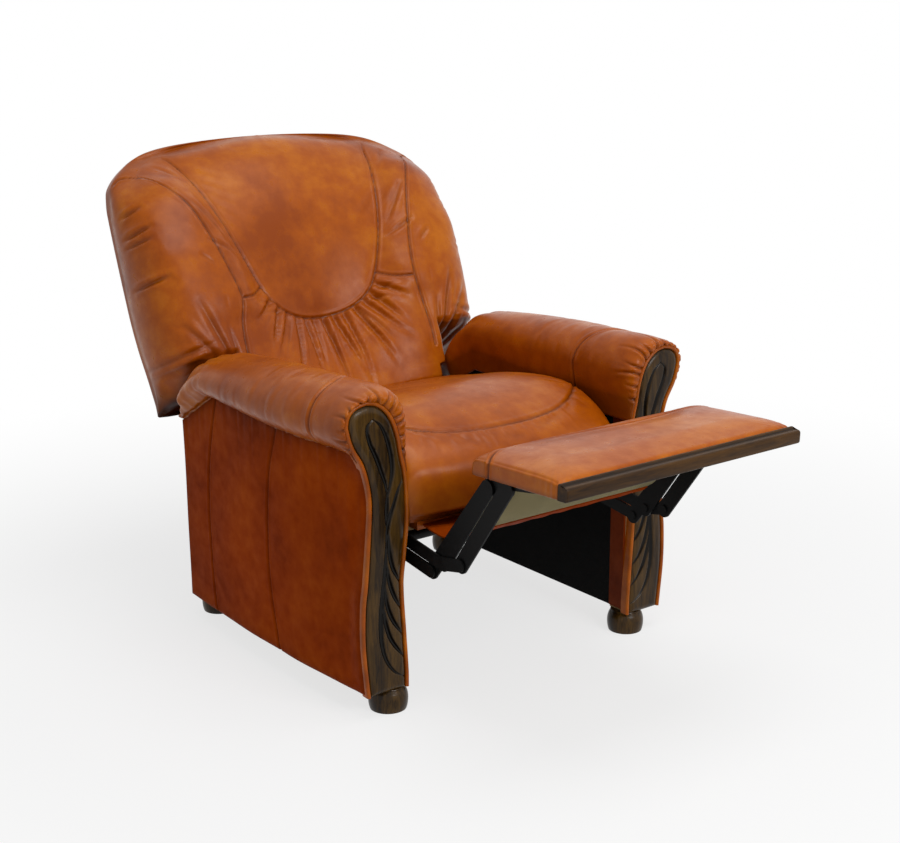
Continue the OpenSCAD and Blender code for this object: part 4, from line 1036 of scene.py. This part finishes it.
def make_facing():
    """Carved and rounded arm front, worked from a flat board."""
    rows, count = 400, 66
    inner, outer = resampled(FACE_IN, rows), resampled(FACE_OUT, rows)
    f = np.linspace(0, 1, count)
    flat = (inner[:, None, :] + f[None, :, None] * (outer - inner)[:, None, :]).reshape(-1, 2)
    bpy.ops.object.select_all(action="DESELECT")
    bpy.ops.mesh.primitive_grid_add(x_subdivisions=count - 1, y_subdivisions=rows - 1, size=1)
    obj = bpy.context.object
    obj.name = obj.data.name = "facing_walnut_left"
    # distance of each point from the board's outline
    foot = columns(np.linspace(276, 350, 50), np.full(50, FACE_IN[0][1]))
    dist = np.full(len(flat), 1e9)
    for p in np.vstack([facing_outline(400)[0], foot]):
        dist = np.minimum(dist, np.hypot(flat[:, 0] - p[0], flat[:, 1] - p[1]))
    roll = 13.0
    rounded = 0.62 * np.where(dist < roll, roll - np.sqrt(np.maximum(roll**2 - (roll - dist) ** 2, 0)), 0.0)
    cut = carved(flat)
    grid = coords(obj)
    order = np.lexsort((grid[:, 0], grid[:, 1]))
    target = np.zeros_like(grid)
    target[order] = to_frame(at_y(flat, FACING_Y + rounded + CARVED_DEEP * cut))
    set_coords(obj, target)
    # painted shade in the gouge cuts
    values = np.zeros(len(flat))
    values[order] = ease(cut / 0.4)
    # the board's thickness
    only(obj)
    bpy.ops.object.mode_set(mode="EDIT")
    bpy.ops.mesh.select_all(action="SELECT")
    bpy.ops.mesh.extrude_region_move(TRANSFORM_OT_translate={"value": (0, 0, 0)})
    bpy.ops.object.mode_set(mode="OBJECT")
    co = coords(obj)
    co[[v.select for v in obj.data.vertices], 1] = (ARM_Y0 - 0.1 - MID_Y) / 1000
    set_coords(obj, co)
    mark_shade_and_tone(obj, np.concatenate([values, np.zeros(len(co) - len(values))]))
    outward(obj)
    both_sides(obj, walnut, "walnut", "arm_facing_", 40)


def make_welt():
    """Piping sewn round the facing: a cord under a strip of the same hide."""
    line, across = facing_outline(150)
    # the two edges of the facing end in one point
    line, across = np.delete(line, 150, 0), np.delete(across, 150, 0)
    cord = arc(4.2, -26.8, 3.9, -5.0, 10, 170, 9)
    rim = np.vstack([(0.4, ARM_Y0 - 0.2), (7.6, ARM_Y0 - 0.2), (8.0, -25), cord, (0.4, -25)])
    rings = [[(p[0] + n[0] * out, y, p[1] + n[1] * out) for out, y in rim] for p, n in zip(line, across)]
    obj, _, _ = ring_mesh("facing_piping_left", rings)
    mark_shade_and_tone(obj, 0.1 + 0.12 * np.sin(coords(obj)[:, 2] * 90))
    both_sides(obj, cognac, "leather_dark", "facing_welt_", 60)


# ---- footrest
REST_HALF = 267.0
REST_LEN = 213.0
REST_WRAP = -25.6
REST_UNDER = -13.8
rest_seam = [
    (-268, 44), (-252, 32), (-229, 20), (-185, 11), (-114, 20), (-24, 28), (49, 35), (124, 33), (188, 23), (245, 20),
    (268, 24),
]


def shoulder(e, width):
    """Rise from an edge, round over a width and then flat."""
    return np.sqrt(np.maximum(1 - (1 - np.clip(e / width, 0, 1)) ** 2, 0))


def rest_crown(x, d):
    """Height of the pad over its edges: flat, then rounded down to the front and the sides."""
    side, front, rear = shoulder(REST_HALF - np.abs(x), 56), shoulder(REST_LEN - d, 60), shoulder(d, 26)
    return -7 + 6 * shoulder(d, 9) + 15 * side * front * rear - 2.5 * (1 - shoulder(REST_LEN - d, 7))


def make_footrest_pad():
    """Hide over thin foam, drawn down round the board's sides and tacked under it."""
    ds = np.concatenate([[0.5, 1.5, 3.5, 6.5, 10], np.linspace(14, 204, 60), [207.5, 210, 211.6, 212.6]])
    board, tacked = REST_HALF - 4.6, REST_WRAP + 1.2
    fs = np.concatenate([np.linspace(0, 0.8, 40)[:-1], np.linspace(0.8, 0.985, 22)])
    bulge = 0.6 * np.sin(pi * np.linspace(0, 1, 7))
    rings = []
    for d in ds:
        w = REST_HALF - 1.5 * exp(-d / 3) - 1.5 * exp(-(REST_LEN - d) / 2)
        top = columns(w * fs, rest_crown(w * fs, d))
        end = top[-1, 1]
        edge = arc(w - 3.6, end - 4.2, 3.6, 4, 72, 0, 6)
        side = columns(w + bulge, np.linspace(end - 8, REST_WRAP + 2, 7))
        low = [
            (w - 1.4, REST_WRAP), (w - 26, REST_WRAP), (w - 26, tacked), (board, tacked), (board, REST_UNDER),
            (w / 2, REST_UNDER), (0, REST_UNDER),
        ]
        rings.append(ring_at(np.vstack([top, edge, side, low]), d))
    obj, local, j = ring_mesh("footrest_leather", rings, rest_to_chair)
    x, y, z = local.T
    top = on_show(j, len(fs) + len(edge) + len(side))
    d, _ = seam_reach(local[:, :2], [rest_seam])
    ax = np.abs(x)
    puff = np.where(top & (ax < 262), stuffed(d, 1.6, 16.0), 0)
    corner = np.exp(-((REST_LEN - y) / 20.0)) * np.exp(-((REST_HALF - ax) / 26.0))
    raised(obj, puff + 1.1 * wave(ax - y, 13.0) * corner * top)
    inflate(obj, top, d, 4.0, np.where((y < 4) | (y > 205) | (ax > 258), 1.0, 0), 1.6, 2.5, 12)
    x, y, z, shown = refine(obj, x=x, y=y, z=z, shown=top.astype(float))
    d, _ = seam_reach(columns(x, y), [rest_seam])
    raised(obj, shown * ditch(d, 2.8, 2.2, 1.2, 5.0, 2.2))
    # painted shade in the seam and under the board
    mark_shade_and_tone(obj, seam_shade(d, 0.9, 1.9, 0.05) * shown + 0.5 * ease((-14 - z) / 12))
    place(obj, cognac, "footrest", "leather", ["footrest_pad"], fill=0.7)


def make_footrest_trim():
    """Moulded front lath: a bead along the top edge over a flat face with eased corners."""
    bead, nose = arc(216.6, 0.2, -3.4, 2.6, 20, 160, 7), arc(231, -7.0, 5.5, 5.6, 90, 0, 6)
    prof = np.vstack([
        (213.2, -25.6), (213.2, 0.4), bead, (221.5, -0.6), (223, -1.6), nose, (236.8, -21.5), (235.5, -24.2),
        (232.5, -25.6),
    ])
    mid = prof.mean(axis=0)
    xs = np.concatenate([[-266.8, -266.2], np.linspace(-264, 264, 12), [266.2, 266.8]])
    shrink = np.interp(np.abs(xs), [264, 266.2, 266.8], [1, 0.99, 0.96])
    rings = [columns(np.full(len(prof), x), mid + (prof - mid) * k) for x, k in zip(xs, shrink)]
    obj, local, _ = ring_mesh("footrest_lath", rings, rest_to_chair)
    # painted shade in the groove beside the bead
    mark_shade_and_tone(obj, 0.9 * bell(local[:, 1] - 221.8, 1.6) * (local[:, 2] > -3))
    place(obj, walnut_trim, "footrest", "trim_wood", ["footrest_trim"], 35)


def make_sheet(name, path, half_width, fold, mat, slot, thick):
    """A strip of cloth or hide hung between the seat and the footrest, and the length it was cut to."""
    line = spaced(path, 6)
    xs = np.linspace(-half_width, half_width, 90)
    rows = []
    for k, (y, z) in enumerate(line):
        f = k / (len(line) - 1)
        sag = 3.5 * sin(pi * f)
        ripple = fold * wave(xs + 14 * np.sin(xs / 47), 63.0) * f * (1 - f) * 3
        rows.append(at_y(columns(xs, z - sag + ripple), y - sag * 0.2))
    obj = new_mesh(name, to_frame(np.vstack(rows)), grid_faces(len(line), len(xs)))
    mark_shade_and_tone(obj, np.full(len(line) * len(xs), 0.2))
    modify(obj, "SOLIDIFY", thickness=thick, offset=0.0)
    outward(obj)
    place(obj, mat, "seat", slot, (), 60)
    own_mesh(obj)
    return obj, float(np.linalg.norm(np.diff(line, axis=0), axis=1).sum()) / 1000


def make_flap():
    """The hide-covered tongue in front of the seat rail, and the canvas sling from it up to the footrest."""
    path = [(-10.4, 334), (-40, 331), (-75, 331), (-107, 337), (-128, 349)]
    tongue, long = make_sheet("leg_tongue", path, 220, 1.5, cognac_shaded_side, "leather", 0.003)
    path = [(-127, 349.5), (-140, 360), (-152, 374), (-168, 404), (-184, 440), (-206, 482)]
    sling, long = make_sheet("leg_canvas", path, 221, 2.4, canvas, "canvas", 0.0012)
    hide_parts("leg_flap")


make_back()
make_seat()
make_arm_pad()
make_side_panel()
make_facing()
make_welt()
make_footrest_pad()
make_footrest_trim()
make_flap()

# The CAD pieces that show as they are
slots = {s["node"]: s["material_slot"] for s in frame["record"]["subparts"]}
for name, obj in frame["nodes"].items():
    if not obj.hide_render:
        # the inner arm strips take the shaded copy of the leather: painted shade
        dress(obj, cognac_shaded if name == "arm_strips" else FINISH[slots[name]])

# ---- floor, light and camera
bpy.ops.object.select_all(action="DESELECT")
bpy.ops.mesh.primitive_plane_add(size=60, location=(0, 0, -0.0005))
floor = bpy.context.object
floor.name = "studio_floor"
paper, tree, spot = blank("StudioPaper")
matt = node(tree, "BsdfDiffuse", Color=(0.8, 0.8, 0.8, 1))
glow = node(tree, "Emission", Color=(1, 1, 1, 1), Strength=1.0)
rays = node(tree, "LightPath").outputs
seen = combined(tree, "MAXIMUM", rays["Is Camera Ray"], rays["Is Glossy Ray"])
# the sheet is plain white beyond the chair and keeps the shadow near it
away_m = node(tree, "VectorMath", {0: spot}, operation="LENGTH").outputs["Value"]
span = {"From Min": 0.5, "From Max": 2.2, "To Min": 0.72, "To Max": 1.0}
bleach = node(tree, "MapRange", {"Value": away_m}, interpolation_type="SMOOTHSTEP", **span)
share = combined(tree, "MULTIPLY", seen, bleach.outputs["Result"])
mixed = node(tree, "MixShader", {0: share, 1: matt.outputs[0], 2: glow.outputs[0]})
node(tree, "OutputMaterial", {"Surface": mixed.outputs[0]})
dress(floor, paper)

world = bpy.data.worlds.new("StudioAir")
bpy.context.scene.world = world
world.use_nodes = True
tree = world.node_tree
tree.nodes.clear()
rays = node(tree, "LightPath").outputs
soft = node(tree, "Background", Color=(1, 1, 1, 1), Strength=0.36)
white = node(tree, "Background", Color=(1, 1, 1, 1), Strength=1.0)
seen = combined(tree, "MAXIMUM", rays["Is Camera Ray"], rays["Is Glossy Ray"])
seen = combined(tree, "MAXIMUM", seen, rays["Is Transmission Ray"])
air = node(tree, "MixShader", {0: seen, 1: soft.outputs[0], 2: white.outputs[0]})
node(tree, "OutputWorld", {"Surface": air.outputs[0]})


def lamp(name, spot, aim, size, power):
    """A rectangular soft box."""
    data = bpy.data.lights.new(name, "AREA")
    set_all(data, shape="RECTANGLE", size=size[0], size_y=size[1], energy=power)
    obj = linked(name, data)
    obj.location = spot
    obj.rotation_euler = (Vector(aim) - Vector(spot)).to_track_quat("-Z", "Y").to_euler()


lamp("overhead_soft_box", (0.1, -0.7, 3.3), (0, 0, 0.4), (2.2, 1.6), 42)
lamp("front_soft_box", (0.3, -3.3, 2.1), (0, 0, 0.45), (1.6, 1.1), 50)

camera_data = bpy.data.cameras.new("camera")
camera = linked("camera", camera_data)
set_all(camera_data, sensor_width=36, sensor_fit="HORIZONTAL", lens=63.33)
camera.location = (-1.80068, -2.38320, 1.25982)
azimuth, elevation, roll = radians(-37.40), radians(15.42), radians(-0.24)
turns = (azimuth, "Z"), (pi / 2 - elevation, "X"), (roll, "Z")
around, up, tilt = (Matrix.Rotation(angle, 3, axis) for angle, axis in turns)
camera.rotation_euler = (around @ up @ tilt).to_euler()
bpy.context.scene.camera = camera
bpy.context.scene.view_settings.view_transform = "Standard"
